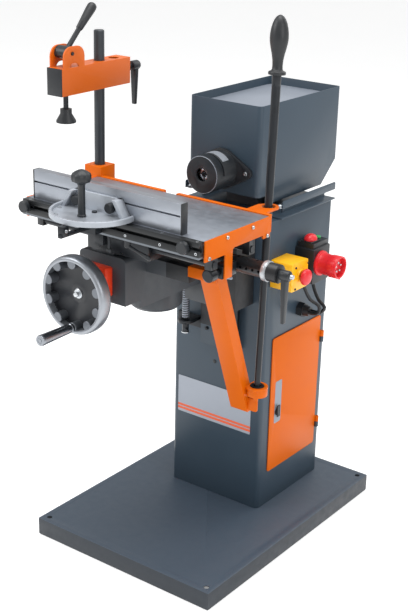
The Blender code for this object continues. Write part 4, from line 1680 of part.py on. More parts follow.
def build_gland_and_cables():
    face = SIDE + GAP
    profile = [(GLAND_RADIUS, 0), (GLAND_RADIUS, GLAND_NUT)]
    nut = turned(profile, (face, GLAND_Y, GLAND_Z), (1, 0, 0), 6)
    cone = turned([(GLAND_RADIUS * 0.8, 0), (GLAND_RADIUS * 0.75, GLAND_NUT),
                   (CABLE_SPREAD + CABLE_RADIUS + PLATE / 4, GLAND_NUT + GLAND_TAPER)],
                  (face, GLAND_Y, GLAND_Z), (1, 0, 0), FINE)
    made = [piece("cable_gland", joined(nut, cone), "black")]
    mouth = face + GLAND_NUT + GLAND_TAPER + GAP
    low = Vector((mouth, GLAND_Y, GLAND_Z))
    side = Vector((0, CABLE_SPREAD, 0))
    box_x = face + STOP_BOX_DEPTH / 2
    start = Vector((box_x, STOP_BOX_FRONT + STOP_BOX_WIDTH + GAP, STOP_BOX_BOTTOM + CABLE_RADIUS * 3))
    stop_route = [start, start + Vector((0, 0.010, 0)), start + Vector((0.002, 0.022, -0.012)),
                  start + Vector((0.006, 0.031, -0.036)), start + Vector((0.014, 0.045, -0.066)),
                  low - side + Vector((0.032, -0.008, 0.028)), low - side + Vector((0.028, -0.002, 0.007)),
                  low - side + Vector((0.012, 0, 0)), low - side]
    made.append(piece("stop_cable", tube(stop_route, CABLE_RADIUS), "rubber"))
    start = Vector((face + SWITCH_DEPTH * 0.55, SWITCH_FRONT + SWITCH_WIDTH * 0.6, SWITCH_BOTTOM - GAP))
    switch_route = [start, start + Vector((0, 0, -0.012)), start + Vector((0.006, 0.000, -0.030)),
                    start + Vector((0.020, -0.001, -0.052)), low + side + Vector((0.036, 0.001, 0.018)),
                    low + side + Vector((0.026, 0.000, 0.003)), low + side + Vector((0.012, 0, 0)),
                    low + side]
    made.append(piece("switch_cable", tube(switch_route, CABLE_RADIUS), "rubber"))
    return made


def build_all():
    for item in list(bpy.data.objects):
        bpy.data.objects.remove(item)
    build_base_tray()
    build_pedestal()
    build_door()
    build_motor_mount()
    build_motor()
    build_hood()
    build_guard()
    build_spindle()
    build_slideway()
    build_lift_screw()
    build_lift_saddle()
    build_lift_drive()
    build_handwheel()
    build_counter()
    build_brace()
    build_lever()
    build_cross_slide()
    build_guides()
    build_index_bar()
    build_table()
    build_front_rail()
    build_end_plates()
    build_rear_strip()
    build_plunger()
    build_stops()
    build_gauge_slide()
    build_gauge_head()
    build_gauge_lock()
    build_fence()
    build_column()
    build_clamp_arm()
    build_clamp_parts()
    build_stop_box()
    build_switch()
    build_inlet()
    build_gland_and_cables()


build_all()
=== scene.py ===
import bpy
import bmesh
import math
from mathutils import Matrix, Vector


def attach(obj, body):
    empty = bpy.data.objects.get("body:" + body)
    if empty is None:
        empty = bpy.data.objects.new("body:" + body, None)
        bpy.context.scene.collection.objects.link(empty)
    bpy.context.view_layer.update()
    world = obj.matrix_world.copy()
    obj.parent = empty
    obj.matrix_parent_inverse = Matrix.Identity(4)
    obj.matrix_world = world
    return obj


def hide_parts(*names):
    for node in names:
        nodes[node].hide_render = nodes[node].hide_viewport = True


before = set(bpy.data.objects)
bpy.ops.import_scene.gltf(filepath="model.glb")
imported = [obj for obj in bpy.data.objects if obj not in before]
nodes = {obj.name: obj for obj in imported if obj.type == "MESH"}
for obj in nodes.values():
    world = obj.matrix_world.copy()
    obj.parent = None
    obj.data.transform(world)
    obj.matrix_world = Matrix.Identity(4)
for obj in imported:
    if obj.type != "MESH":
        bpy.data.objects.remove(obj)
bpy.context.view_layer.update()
scene = bpy.context.scene
print("frame loaded:", len(nodes), "nodes")


def srgb(code):
    # hex as painted on a colour card, turned to linear light
    values = [int(code[i:i + 2], 16) / 255 for i in (1, 3, 5)]
    return [v / 12.92 if v <= 0.04045 else ((v + 0.055) / 1.055) ** 2.4 for v in values] + [1.0]


def addNode(tree, kind, settings=None, links=None):
    # settings: property or socket name -> value; links: socket name -> output socket
    node = tree.nodes.new(kind)
    for name, value in (settings or {}).items():
        if name in node.inputs:
            node.inputs[name].default_value = value
        else:
            setattr(node, name, value)
    for name, output in (links or {}).items():
        tree.links.new(output, node.inputs[name])
    return node


def calculate(tree, operation, terms, clamp=False):
    # terms: numbers or output sockets
    node = addNode(tree, "ShaderNodeMath", {"operation": operation, "use_clamp": clamp})
    for socket, term in zip(node.inputs, terms):
        if isinstance(term, float):
            socket.default_value = term
        else:
            tree.links.new(term, socket)
    return node.outputs[0]


def newMaterial(name, colour, roughness, metallic=0.0):
    material = bpy.data.materials.new(name)
    material.use_nodes = True
    shader = material.node_tree.nodes["Principled BSDF"]
    shader.inputs["Base Color"].default_value = srgb(colour)
    shader.inputs["Roughness"].default_value = roughness
    shader.inputs["Metallic"].default_value = metallic
    return material, material.node_tree, shader


def driftColour(tree, shader, factor, dark, light):
    # sockets 6 and 7 of the mix node are its two colours, output 2 is the mixed one
    tint = addNode(tree, "ShaderNodeMix", {"data_type": "RGBA"}, {"Factor": factor})
    tint.inputs[6].default_value = srgb(dark)
    tint.inputs[7].default_value = srgb(light)
    tree.links.new(tint.outputs[2], shader.inputs["Base Color"])
    return tint


def driftGloss(tree, shader, factor, low, high):
    gloss = addNode(tree, "ShaderNodeMapRange", {"From Min": 0.3, "From Max": 0.7, "To Min": low, "To Max": high},
                    {"Value": factor})
    tree.links.new(gloss.outputs["Result"], shader.inputs["Roughness"])


def mottle(tree, shader, dark, light, driftMm, low, high, bumpMm=0.0, grainMm=1.0):
    # slow colour drift, a roughness range, and a fine bump, all from object coordinates
    place = addNode(tree, "ShaderNodeTexCoord").outputs["Object"]
    drift = addNode(tree, "ShaderNodeTexNoise", {"Scale": 1000 / driftMm, "Detail": 4.0, "Roughness": 0.6},
                    {"Vector": place}).outputs["Fac"]
    driftColour(tree, shader, drift, dark, light)
    driftGloss(tree, shader, drift, low, high)
    if bumpMm:
        grain = addNode(tree, "ShaderNodeTexNoise", {"Scale": 1000 / grainMm, "Detail": 2.0}, {"Vector": place})
        bump = addNode(tree, "ShaderNodeBump", {"Strength": 0.6, "Distance": bumpMm / 1000},
                       {"Height": grain.outputs["Fac"]})
        tree.links.new(bump.outputs["Normal"], shader.inputs["Normal"])
    return place


def mottled(name, colour, roughness, tones, driftMm, gloss, grain=(0.0, 1.0), metallic=0.0, specular=0.5):
    # tones: the two colours it drifts between; gloss: its roughness range; grain: depth and size in mm
    material, tree, shader = newMaterial(name, colour, roughness, metallic)
    mottle(tree, shader, *tones, driftMm, *gloss, *grain)
    shader.inputs["Specular IOR Level"].default_value = specular
    return material


def brushed(name, colour, light, roughness, axis):
    # metal ground or turned along one axis: long fine streaks in colour, roughness and bump
    streakMm, longer = 0.6, 60
    material, tree, shader = newMaterial(name, colour, roughness, 1.0)
    place = addNode(tree, "ShaderNodeTexCoord")
    stretch = [1000 / streakMm] * 3
    stretch["XYZ".index(axis)] = 1000 / (streakMm * longer)
    mapped = addNode(tree, "ShaderNodeMapping", {"Scale": stretch}, {"Vector": place.outputs["Object"]})
    streak = addNode(tree, "ShaderNodeTexNoise", {"Scale": 1.0, "Detail": 3.0},
                     {"Vector": mapped.outputs["Vector"]}).outputs["Fac"]
    driftColour(tree, shader, streak, colour, light)
    driftGloss(tree, shader, streak, roughness - 0.08, roughness + 0.1)
    bump = addNode(tree, "ShaderNodeBump", {"Strength": 0.25, "Distance": 0.0001}, {"Height": streak})
    tree.links.new(bump.outputs["Normal"], shader.inputs["Normal"])
    return material


def banded(name, axis, bandsMm, roughness):
    # one piece in several finishes along an axis: bandsMm is (where it starts in mm, colour, metallic)
    colour = bandsMm[0][1]
    material, tree, shader = newMaterial(name, colour, roughness)
    place = mottle(tree, shader, colour, colour, 20, roughness - 0.06, roughness + 0.08, 0.03, 1.0)
    parts = addNode(tree, "ShaderNodeSeparateXYZ", links={"Vector": place})
    low, high = bandsMm[0][0] / 1000, bandsMm[-1][0] / 1000 + 0.02
    along = addNode(tree, "ShaderNodeMapRange", {"From Min": low, "From Max": high}, {"Value": parts.outputs[axis]})
    ramp = addNode(tree, "ShaderNodeValToRGB", links={"Fac": along.outputs["Result"]})
    stops = ramp.color_ramp
    stops.interpolation = "CONSTANT"
    stops.elements.remove(stops.elements[1])
    for startMm, colour, metallic in bandsMm[1:]:
        stops.elements.new((startMm / 1000 - low) / (high - low))
    for stop, (startMm, colour, metallic) in zip(stops.elements, bandsMm):
        stop.color = srgb(colour)[:3] + [metallic]   # the ramp's alpha carries the metal
    tree.links.new(ramp.outputs["Color"], shader.inputs["Base Color"])
    tree.links.new(ramp.outputs["Alpha"], shader.inputs["Metallic"])
    return material


# powder coat: polyester baked on sheet steel, a faint orange peel about 2 mm across
orangeCoat = mottled("powder coat orange", "#D25F03", 0.42, ("#CE5C01", "#D86606"), 90, (0.36, 0.46), (0.05, 2.0),
                     specular=0.15)
anthraciteCoat = mottled("powder coat anthracite", "#33414D", 0.42, ("#2F3D49", "#394855"), 140, (0.32, 0.43),
                         (0.05, 2.2), specular=0.4)
# the same coat on the tray, with painted shade: dark round its sides below 44.5 mm, lighter on its top
trayShadedCoat = banded("powder coat, painted shade on its sides", "Z", [(0, "#262D35", 0.0), (44.5, "#3F4B58", 0.0)], 0.48)
# grey cast iron, sprayed: the sand cast skin shows as a 1.5 mm grain
castIron = mottled("painted cast iron", "#3D4146", 0.5, ("#35393D", "#474B50"), 40, (0.42, 0.58), (0.16, 1.5))
# oxide blackened steel with a dull metal shine, and phosphated tube, a shade lighter
blackOxide = mottled("black oxide steel", "#1D2024", 0.32, ("#191C20", "#24282D"), 30, (0.26, 0.38), (0.02, 0.8), 0.35)
phosphated = mottled("phosphated steel tube", "#34383D", 0.34, ("#303438", "#3B4045"), 30, (0.28, 0.40), (0.02, 0.8),
                     0.3)
# glass filled nylon and rubber, moulded with a fine matt texture
blackNylon = mottled("moulded black nylon", "#1C1F23", 0.42, ("#181B1F", "#23272B"), 25, (0.34, 0.46), (0.04, 0.7))
blackRubber = mottled("moulded black rubber", "#1B1D20", 0.45, ("#181A1D", "#222528"), 20, (0.36, 0.50), (0.05, 0.9))
# bright metals: plated, milled, ground, turned, zinc plated and cast
chrome = mottled("satin plated steel", "#8B8F95", 0.22, ("#83878D", "#969AA0"), 50, (0.18, 0.28), metallic=1.0)
padSteel = mottled("milled pad steel", "#74787E", 0.4, ("#6C7076", "#7E8288"), 20, (0.34, 0.46), metallic=0.8)
groundSteel = brushed("ground steel", "#A4A9AF", "#C4C8CD", 0.28, "Z")
turnedSteel = brushed("turned steel", "#A9AEB4", "#C8CCD1", 0.26, "X")
zincSteel = mottled("zinc plated steel", "#C3C7CB", 0.3, ("#B4B9BE", "#D2D5D8"), 12, (0.22, 0.36), metallic=1.0)
lidGrey = mottled("zinc plated lid", "#868D98", 0.42, ("#7F8691", "#8F96A1"), 160, (0.38, 0.48), (0.02, 1.5), 0.25)
castAluminium = mottled("cast aluminium", "#A9AFB7", 0.42, ("#A0A6AE", "#B4B9C0"), 18, (0.34, 0.48), (0.05, 1.0), 0.45)
# coloured mouldings
yellowAbs = mottled("yellow moulded ABS", "#F9B80C", 0.35, ("#F6B108", "#FBBF18"), 60, (0.30, 0.40), (0.02, 1.2))
redAbs = mottled("red moulded ABS", "#D8202A", 0.32, ("#CE1B24", "#E12A32"), 40, (0.27, 0.38), (0.02, 1.2))
greenAbs = mottled("green moulded ABS", "#2E9E4F", 0.35, ("#28934A", "#36A958"), 20, (0.30, 0.42), (0.02, 1.2))
counterRed = mottled("signal red moulding", "#EE3F1D", 0.36, ("#E63817", "#F44A26"), 30, (0.30, 0.42), (0.02, 1.2))
# printed film on the pedestal: silver with two thin stripes along its lower edge
plateFilm = banded("printed plate film", "Z", [(249, "#9DA3AD", 0.3), (256.5, "#DF5E33", 0.0), (263, "#9DA3AD", 0.3),
                                               (265.5, "#DF5E33", 0.0), (272, "#9DA3AD", 0.3)], 0.40)
# solids that are two or more pieces or finishes in the photograph
cappedFence = banded("drawn aluminium, nylon caps", "X", [(-230, "#232528", 0.0), (-225.2, "#A3A8B0", 0.9),
                                                          (184.1, "#232528", 0.0)], 0.36)
cappedArm = banded("powder coated tube, nylon cap", "Y", [(-276, "#1C1F23", 0.0), (-272.5, "#D25F03", 0.0)], 0.38)
# the lift saddle's casting: its arm beyond x = 58 mm is painted near black as painted shade behind the brace
kneeShadedFinish = banded("painted casting, arm in painted shade", "X", [(-132, "#3E4247", 0.0), (58, "#1D1F22", 0.2)], 0.48)
slideFinish = banded("blackened way, powder coated foot", "Z", [(469, "#33414D", 0.0), (520, "#1D2024", 0.3)], 0.36)
railFinish = banded("blackened rail, milled lower edge", "Z", [(849, "#6C7177", 0.6), (854.5, "#232527", 0.3)], 0.36)
indexFinish = banded("blackened bar, chromed ring", "X", [(40, "#2B2C2E", 0.5), (303.6, "#B4B7BB", 0.6),
                                                          (314.2, "#242527", 0.3), (340.1, "#B9BDC2", 1.0)], 0.3)
tableFinish = banded("milled plate, blackened lugs", "Z", [(800, "#2A2C2F", 0.3), (875.8, "#979DA6", 0.75)], 0.40)

# handwheel: a turned and polished rim round a black cast web
wheelPaint = {"centre": (-0.070, -0.437, 0.706), "blackInside": 0.0772, "floorFront": -0.4340, "web": "#292B2F",
              "rimMetal": 0.85}
wheelFinish, tree, shader = newMaterial("polished rim, black web", "#9A9EA4", 0.32, wheelPaint["rimMetal"])
place = mottle(tree, shader, "#90949A", "#A4A8AE", 30, 0.30, 0.42)
centred = addNode(tree, "ShaderNodeMapping", {"Location": [-value for value in wheelPaint["centre"]]},
                  {"Vector": place})
spoke = addNode(tree, "ShaderNodeVectorMath", {"operation": "MULTIPLY"}, {"Vector": centred.outputs["Vector"]})
spoke.inputs[1].default_value = (1, 0, 1)
reach = addNode(tree, "ShaderNodeVectorMath", {"operation": "LENGTH"}, {"Vector": spoke.outputs["Vector"]})
inside = calculate(tree, "LESS_THAN", (reach.outputs["Value"], wheelPaint["blackInside"]))
depth = addNode(tree, "ShaderNodeSeparateXYZ", links={"Vector": place})
behind = calculate(tree, "GREATER_THAN", (depth.outputs["Y"], wheelPaint["floorFront"]))
black = calculate(tree, "MULTIPLY", (inside, behind))
rimTint = shader.inputs["Base Color"].links[0].from_socket
webTint = driftColour(tree, shader, black, wheelPaint["web"], wheelPaint["web"])
tree.links.new(rimTint, webTint.inputs[6])
metal = calculate(tree, "SUBTRACT", (wheelPaint["rimMetal"], black), clamp=True)
tree.links.new(metal, shader.inputs["Metallic"])

finishes = [
    (orangeCoat, ["door", "end_plate_right", "end_plate_left", "rear_strip", "lever_brace"]),
    (anthraciteCoat, ["pedestal", "motor_plate", "motor_hood"]),
    (trayShadedCoat, ["base_tray"]),
    (castIron, ["motor"]),
    (kneeShadedFinish, ["lift_saddle"]),
    (blackOxide, ["screw_bracket", "cross_slide", "plunger_holder", "fulcrum_bush", "lever", "gauge_slide",
                  "index_plunger", "clamp_rod", "guide_shaft_front", "guide_shaft_rear"]),
    (slideFinish, ["slideway"]),
    (phosphated, ["clamp_column"]),
    (groundSteel, ["lift_screw", "lift_nut"]),
    (turnedSteel, ["handwheel_shaft", "spindle", "stop_nut_left", "stop_nut_right"]),
    (chrome, ["crank_grip"]),
    (lidGrey, ["hood_lid"]),
    (castAluminium, ["gauge_head"]),
    (blackNylon, ["chuck_guard", "door_latch", "index_handle", "stop_knob_left", "stop_knob_right", "gauge_lock",
                  "fence_knob_left", "fence_knob_right", "cam_lever", "clamp_handle", "switch_box", "cable_gland"]),
    (yellowAbs, ["stop_box"]),
    (redAbs, ["stop_button", "stop_flap", "power_inlet"]),
    (counterRed, ["height_counter"]),
    (greenAbs, ["start_button"]),
    (blackRubber, ["lever_grip", "clamp_foot", "stop_cable", "switch_cable"]),
    (wheelFinish, ["handwheel"]),
    (cappedFence, ["fence"]),
    (cappedArm, ["clamp_arm"]),
    (railFinish, ["front_rail"]),
    (indexFinish, ["index_bar"]),
    (tableFinish, ["table_top"]),
]
for material, names in finishes:
    for name in names:
        for slot in nodes[name].material_slots:
            slot.material = material
print("finishes on the carried-over nodes")

# curved walls of the carried-over nodes shade smooth, edges over 34 degrees stay crisp
shadeTree = bpy.data.node_groups.new("smoothWalls", "GeometryNodeTree")
shadeTree.interface.new_socket("Geometry", in_out="INPUT", socket_type="NodeSocketGeometry")
shadeTree.interface.new_socket("Geometry", in_out="OUTPUT", socket_type="NodeSocketGeometry")
wallsIn = addNode(shadeTree, "NodeGroupInput")
allSmooth = addNode(shadeTree, "GeometryNodeSetShadeSmooth", {"domain": "FACE"}, {"Geometry": wallsIn.outputs[0]})
bend = addNode(shadeTree, "GeometryNodeInputMeshEdgeAngle")
sharp = addNode(shadeTree, "FunctionNodeCompare", {"operation": "GREATER_THAN", "B": math.radians(34)},
                {"A": bend.outputs[0]})
crisp = addNode(shadeTree, "GeometryNodeSetShadeSmooth", {"domain": "EDGE", "Shade Smooth": False},
                {"Geometry": allSmooth.outputs[0], "Selection": sharp.outputs[0]})
wallsOut = addNode(shadeTree, "NodeGroupOutput")
shadeTree.links.new(crisp.outputs[0], wallsOut.inputs[0])

# pressed and cast edges catch the light: width in mm of the rounding on each node
roundingMm = {"base_tray": 2.5, "pedestal": 1.5, "motor_hood": 1.2, "motor_plate": 1.0, "door": 1.0, "lever_brace": 1.2,
              "end_plate_right": 0.8, "end_plate_left": 0.8, "rear_strip": 0.7, "clamp_arm": 0.9, "lift_saddle": 2.0,
              "cross_slide": 1.2, "stop_box": 2.0, "switch_box": 1.5, "height_counter": 1.5, "front_rail": 0.5,
              "fence": 0.4, "table_top": 0.6, "chuck_guard": 1.2, "gauge_head": 0.7, "handwheel": 0.8, "spindle": 0.6,
              "stop_flap": 1.2, "start_button": 0.8, "plunger_holder": 0.6, "screw_bracket": 0.6, "index_bar": 0.4,
              "motor": 1.5, "power_inlet": 0.5, "clamp_foot": 0.8, "hood_lid": 0.5}
for name, node in nodes.items():
    weld = node.modifiers.new("weldSeams", "WELD")
    weld.merge_threshold = 0.00002
    if name in roundingMm:
        rounding = node.modifiers.new("roundEdges", "BEVEL")
        rounding.width = roundingMm[name] / 1000
        rounding.segments = 2
        rounding.limit_method = "ANGLE"
        rounding.angle_limit = math.radians(40)
    walls = node.modifiers.new("smoothWalls", "NODES")
    walls.node_group = shadeTree
print("edges and walls of the nodes dressed")


def clearSelection():
    bpy.ops.object.select_all(action="DESELECT")


def openPiece():
    # takes its place into the mesh and opens it for editing
    bpy.ops.object.transform_apply(location=True, rotation=True, scale=True)
    bpy.ops.object.mode_set(mode="EDIT")


def closePiece():
    if bpy.context.object.mode == "EDIT":
        bpy.ops.object.mode_set(mode="OBJECT")
    return bpy.context.object


def selectAll():
    bpy.ops.mesh.select_all(action="SELECT")


def addBlock(low, high):
    # a block between two corners, open for editing
    clearSelection()
    middle = [(a + b) / 2 for a, b in zip(low, high)]
    bpy.ops.mesh.primitive_cube_add(size=1, location=middle, scale=[b - a for a, b in zip(low, high)])
    openPiece()


def addTurned(start, direction, profileMm, sides=32):
    # as on a lathe drawing: a disc, then pushed along the axis and scaled from (radius, distance) to the next
    clearSelection()
    direction = Vector(direction).normalized()
    turn = Vector((0, 0, 1)).rotation_difference(direction).to_euler()
    foot = Vector(start) + direction * profileMm[0][1] / 1000
    bpy.ops.mesh.primitive_circle_add(vertices=sides, radius=profileMm[0][0] / 1000, fill_type="NGON", location=foot,
                                      rotation=turn)
    openPiece()
    selectAll()
    for (radius, distance), (nextRadius, nextDistance) in zip(profileMm, profileMm[1:]):
        step = direction * (nextDistance - distance) / 1000
        bpy.ops.mesh.extrude_region_move(TRANSFORM_OT_translate={"value": step})
        foot = foot + step
        bpy.ops.transform.resize(value=[nextRadius / radius] * 3, center_override=foot)
    selectAll()
    bpy.ops.mesh.normals_make_consistent(inside=False)


def pickFaces(test):
    # in edit mode: selects the faces whose middle and normal pass the test
    mesh = bmesh.from_edit_mesh(bpy.context.object.data)
    mesh.select_mode = {"FACE"}
    for face in mesh.faces:
        face.select_set(False)
    for face in mesh.faces:
        if test(face.calc_center_median(), face.normal):
            face.select_set(True)
    bmesh.update_edit_mesh(bpy.context.object.data)


def pickEdges(test):
    # in edit mode: selects the edges whose middle and direction pass the test
    mesh = bmesh.from_edit_mesh(bpy.context.object.data)
    mesh.select_mode = {"EDGE"}
    for edge in mesh.edges:
        edge.select_set(False)
    for edge in mesh.edges:
        first, second = (corner.co for corner in edge.verts)
        if test((first + second) / 2, (second - first).normalized()):
            edge.select_set(True)
    bmesh.update_edit_mesh(bpy.context.object.data)


def cutAcross(point, normal, **sides):
    selectAll()
    bpy.ops.mesh.bisect(plane_co=point, plane_no=normal, **sides)


def bevelPicked(widthMm, segments):
    bpy.ops.mesh.bevel(offset=widthMm / 1000, segments=segments)


def applyModifier(name, kind, **settings):
    modifier = closePiece().modifiers.new(name, kind)
    for key, value in settings.items():
        setattr(modifier, key, value)
    bpy.ops.object.modifier_apply(modifier=name)


def roundEdges(widthMm, segments=2, angle=40):
    applyModifier("roundEdges", "BEVEL", width=widthMm / 1000, segments=segments, limit_method="ANGLE",
                  angle_limit=math.radians(angle))


def joinPieces(pieces):
    clearSelection()
    for piece in pieces:
        piece.select_set(True)
    bpy.context.view_layer.objects.active = pieces[0]
    if len(pieces) > 1:
        bpy.ops.object.join()
    return bpy.context.object


def finishPiece(name, material, body, angle=35, replaced=()):
    piece = closePiece()
    piece.name = name
    piece.data.name = name
    piece.data.materials.clear()
    piece.data.materials.append(material)
    bpy.ops.object.shade_smooth_by_angle(angle=math.radians(angle))
    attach(piece, body)
    if replaced:
        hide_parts(*replaced)


def copyOf(master, move):
    # a copy with a mesh of its own
    copy = master.copy()
    copy.data = master.data.copy()
    scene.collection.objects.link(copy)
    copy.data.transform(move)
    return copy


def copiesAt(master, places, direction, grow=1.0):
    # the master stands at the origin along Z; its copies become one piece
    turn = Vector((0, 0, 1)).rotation_difference(Vector(direction)).to_matrix().to_4x4()
    return joinPieces([copyOf(master, Matrix.Translation(place) @ turn @ Matrix.Scale(grow, 4)) for place in places])


def onCircle(radiusMm, turnDeg):
    # how far a place on a circle lies from its middle, along the circle's two axes
    turn = math.radians(turnDeg)
    return radiusMm / 1000 * math.cos(turn), radiusMm / 1000 * math.sin(turn)


parallel = 0.9   # a direction with more than this along an axis counts as parallel to it
origin, upward = (0, 0, 0), (0, 0, 1)

# socket cap screw, modelled once: a rounded head with a sunk socket
capScrew = {"profileMm": [(4.2, 0), (4.2, 2.25), (3.78, 3.0), (2.2, 3.0), (2.2, 1.2)]}
addTurned(origin, upward, capScrew["profileMm"], sides=18)
capMaster = closePiece()
# hexagon bolt on a washer, modelled once
hexBolt = {"washerMm": [(8.0, 0), (8.0, 1.6), (5.94, 1.6)], "headMm": [(6.6, 1.6), (6.6, 7.55), (5.412, 8.6)]}
addTurned(origin, upward, hexBolt["washerMm"], sides=24)
washer = closePiece()
addTurned(origin, upward, hexBolt["headMm"], sides=6)
hexMaster = joinPieces([washer, closePiece()])

endScrews = {"x": 0.2504, "places": [(-0.309, 0.8775), (-0.217, 0.8775), (-0.161, 0.846), (-0.371, 0.847)]}
copiesAt(capMaster, [(endScrews["x"], y, z) for y, z in endScrews["places"]], (1, 0, 0))
finishPiece("endPlateScrews", zincSteel, "table")
railScrews = {"topY": -0.3925, "topZ": 0.8838, "topX": (-0.229, -0.137, 0.145, 0.236),
              "frontY": -0.3981, "frontZ": 0.8615, "frontX": (0.052, 0.145, 0.238)}
topPlaces = [(x, railScrews["topY"], railScrews["topZ"]) for x in railScrews["topX"]]
frontPlaces = [(x, railScrews["frontY"], railScrews["frontZ"]) for x in railScrews["frontX"]]
topRow = copiesAt(capMaster, topPlaces, (0, 0, 1), grow=0.8)
frontRow = copiesAt(capMaster, frontPlaces, (0, -1, 0), grow=0.8)
joinPieces([topRow, frontRow])
finishPiece("railScrews", zincSteel, "table")
plateBolts = {"z": 0.8344, "places": [(0.133, 0.068), (0.131, 0.246), (-0.133, 0.068), (-0.131, 0.246)]}
copiesAt(hexMaster, [(x, y, plateBolts["z"]) for x, y in plateBolts["places"]], (0, 0, 1), grow=0.95)
finishPiece("motorPlateBolts", zincSteel, "frame")
guardBolts = {"places": [(0.071, 0.0095, 0.917), (-0.071, 0.0095, 0.917)]}
copiesAt(capMaster, guardBolts["places"], (0, -1, 0), grow=1.25)
finishPiece("guardBolts", zincSteel, "frame")
print("screws and bolts placed")

frontPlate = {"low": (-0.120, 0.0168, 0.2495), "high": (0.1075, 0.0176, 0.3505), "cornerMm": 2.0, "edgeMm": 0.2}
addBlock(frontPlate["low"], frontPlate["high"])
pickEdges(lambda middle, along: abs(along.y) > parallel)
bevelPicked(frontPlate["cornerMm"], segments=3)
roundEdges(frontPlate["edgeMm"], segments=1)
finishPiece("frontPlate", plateFilm, "frame")

lockPlate = {"low": (0.14035, 0.0745, 0.2680), "high": (0.14058, 0.1035, 0.3830), "cornerMm": 5.0}
addBlock(lockPlate["low"], lockPlate["high"])
pickEdges(lambda middle, along: abs(along.x) > parallel)
bevelPicked(lockPlate["cornerMm"], segments=4)
finishPiece("lockPlate", lidGrey, "door_leaf")
# the flap on the latch's knob, sunk inside its border
latchFlap = {"low": (0.1442, 0.0795, 0.2870), "high": (0.1482, 0.0905, 0.3180), "border": 0.0022, "sunk": -0.0012,
             "edgeMm": 1.0}
addBlock(latchFlap["low"], latchFlap["high"])
pickFaces(lambda middle, normal: normal.x > parallel)
bpy.ops.mesh.inset(thickness=latchFlap["border"], depth=latchFlap["sunk"])
roundEdges(latchFlap["edgeMm"])
finishPiece("latchFlap", blackNylon, "latch")

leverGrip = {"foot": (0.2007, -0.0745, 1.1753), "along": (-0.018, 0.056, 0.840), "neckFoot": (0.2012, -0.0761, 1.1513),
             "neckMm": [(9.6, 0), (10.0, 0.6), (10.0, 25)],
             "profileMm": [(12, 0), (18.6, 0.3), (19.3, 2), (19.3, 5.5), (18.2, 7.2), (13.6, 9), (11.6, 12), (11.2, 20),
                           (12.0, 32), (14.2, 44), (17.2, 56), (19.6, 68), (20.4, 77), (20.0, 87), (18.4, 98),
                           (15.8, 108), (12.2, 116.5), (8.0, 122), (3.6, 125), (1.0, 125.8)]}
addTurned(leverGrip["neckFoot"], leverGrip["along"], leverGrip["neckMm"], sides=40)
finishPiece("gripNeck", blackOxide, "lever_body", angle=50)
addTurned(leverGrip["foot"], leverGrip["along"], leverGrip["profileMm"], sides=40)
finishPiece("gripMoulding", blackRubber, "lever_body", angle=50, replaced=["lever_grip"])

crankGrip = {"foot": (-0.070, -0.4376, 0.633),
             "profileMm": [(8.5, 0), (10.2, 0.6), (10.4, 5), (9.2, 6), (9.2, 8), (10.6, 9), (12.6, 92), (12.9, 96),
                           (11.8, 99.2), (7.0, 99.6), (6.4, 98.6), (4.6, 98.6), (4.2, 99.4), (1.0, 99.6)]}
addTurned(crankGrip["foot"], (0, -1, 0), crankGrip["profileMm"], sides=36)
finishPiece("crankSleeve", chrome, "crank", replaced=["crank_grip"])

handwheel = {"back": (-0.070, -0.4030, 0.706),
             "profileMm": [(20, 0), (82, 0), (87, 2.5), (89.6, 8), (90, 14), (90, 24), (89, 29), (86.6, 32.6),
                           (83.5, 34), (80, 34), (78.4, 33), (77.8, 31), (77, 10), (26, 8.5), (24, 9.5), (14, 10.5),
                           (1, 10.5)]}
addTurned(handwheel["back"], (0, -1, 0), handwheel["profileMm"], sides=72)
finishPiece("wheelRim", wheelFinish, "wheel", angle=40, replaced=["handwheel"])
# ten half round pads along the rim's inner wall; the lowest one carries the crank
wheelPads = {"middle": (-0.070, -0.4125, 0.706), "count": 10, "fromDeg": -90, "reachMm": 73.6,
             "profileMm": [(11.4, 0), (11.4, 22.8), (10.4, 23.8)]}
addTurned(origin, upward, wheelPads["profileMm"], sides=24)
padMaster = closePiece()
padPlaces = []
for index in range(wheelPads["count"]):
    aside, rise = onCircle(wheelPads["reachMm"], wheelPads["fromDeg"] + 360 * index / wheelPads["count"])
    padPlaces.append(Vector(wheelPads["middle"]) + Vector((aside, 0, rise)))
copiesAt(padMaster, padPlaces, (0, -1, 0))
finishPiece("wheelPads", padSteel, "wheel", angle=40)

hubBolt = {"foot": (-0.070, -0.4133, 0.706),
           "profileMm": [(11.5, 0), (11.5, 2.0), (10.4, 2.8), (6.2, 2.8), (6.2, 9.5), (5.0, 11.0), (2.4, 11.2),
                         (1.0, 11.6)]}
addTurned(hubBolt["foot"], (0, -1, 0), hubBolt["profileMm"], sides=24)
finishPiece("wheelHubBolt", zincSteel, "wheel")

mushroom = {"foot": (0.2085, 0.068, 0.680),
            "profileMm": [(11, 0), (11, 1.5), (18.5, 2.0), (19.8, 4.0), (20, 7.0), (19.2, 10.0), (16.5, 13.0),
                          (12.0, 15.1), (6.0, 16.0), (1.0, 16.1)]}
addTurned(mushroom["foot"], (1, 0, 0), mushroom["profileMm"], sides=40)
finishPiece("mushroomCap", redAbs, "stop_push_body", angle=50, replaced=["stop_button"])

boxScrews = {"x": 0.2022, "places": [(0.0415, 0.6535), (0.0945, 0.6535), (0.0415, 0.7065), (0.0945, 0.7065)]}
copiesAt(capMaster, [(boxScrews["x"], y, z) for y, z in boxScrews["places"]], (1, 0, 0), grow=0.7)
finishPiece("stopBoxScrews", blackOxide, "frame")
print("plate, lock, grips, wheel and buttons modelled")

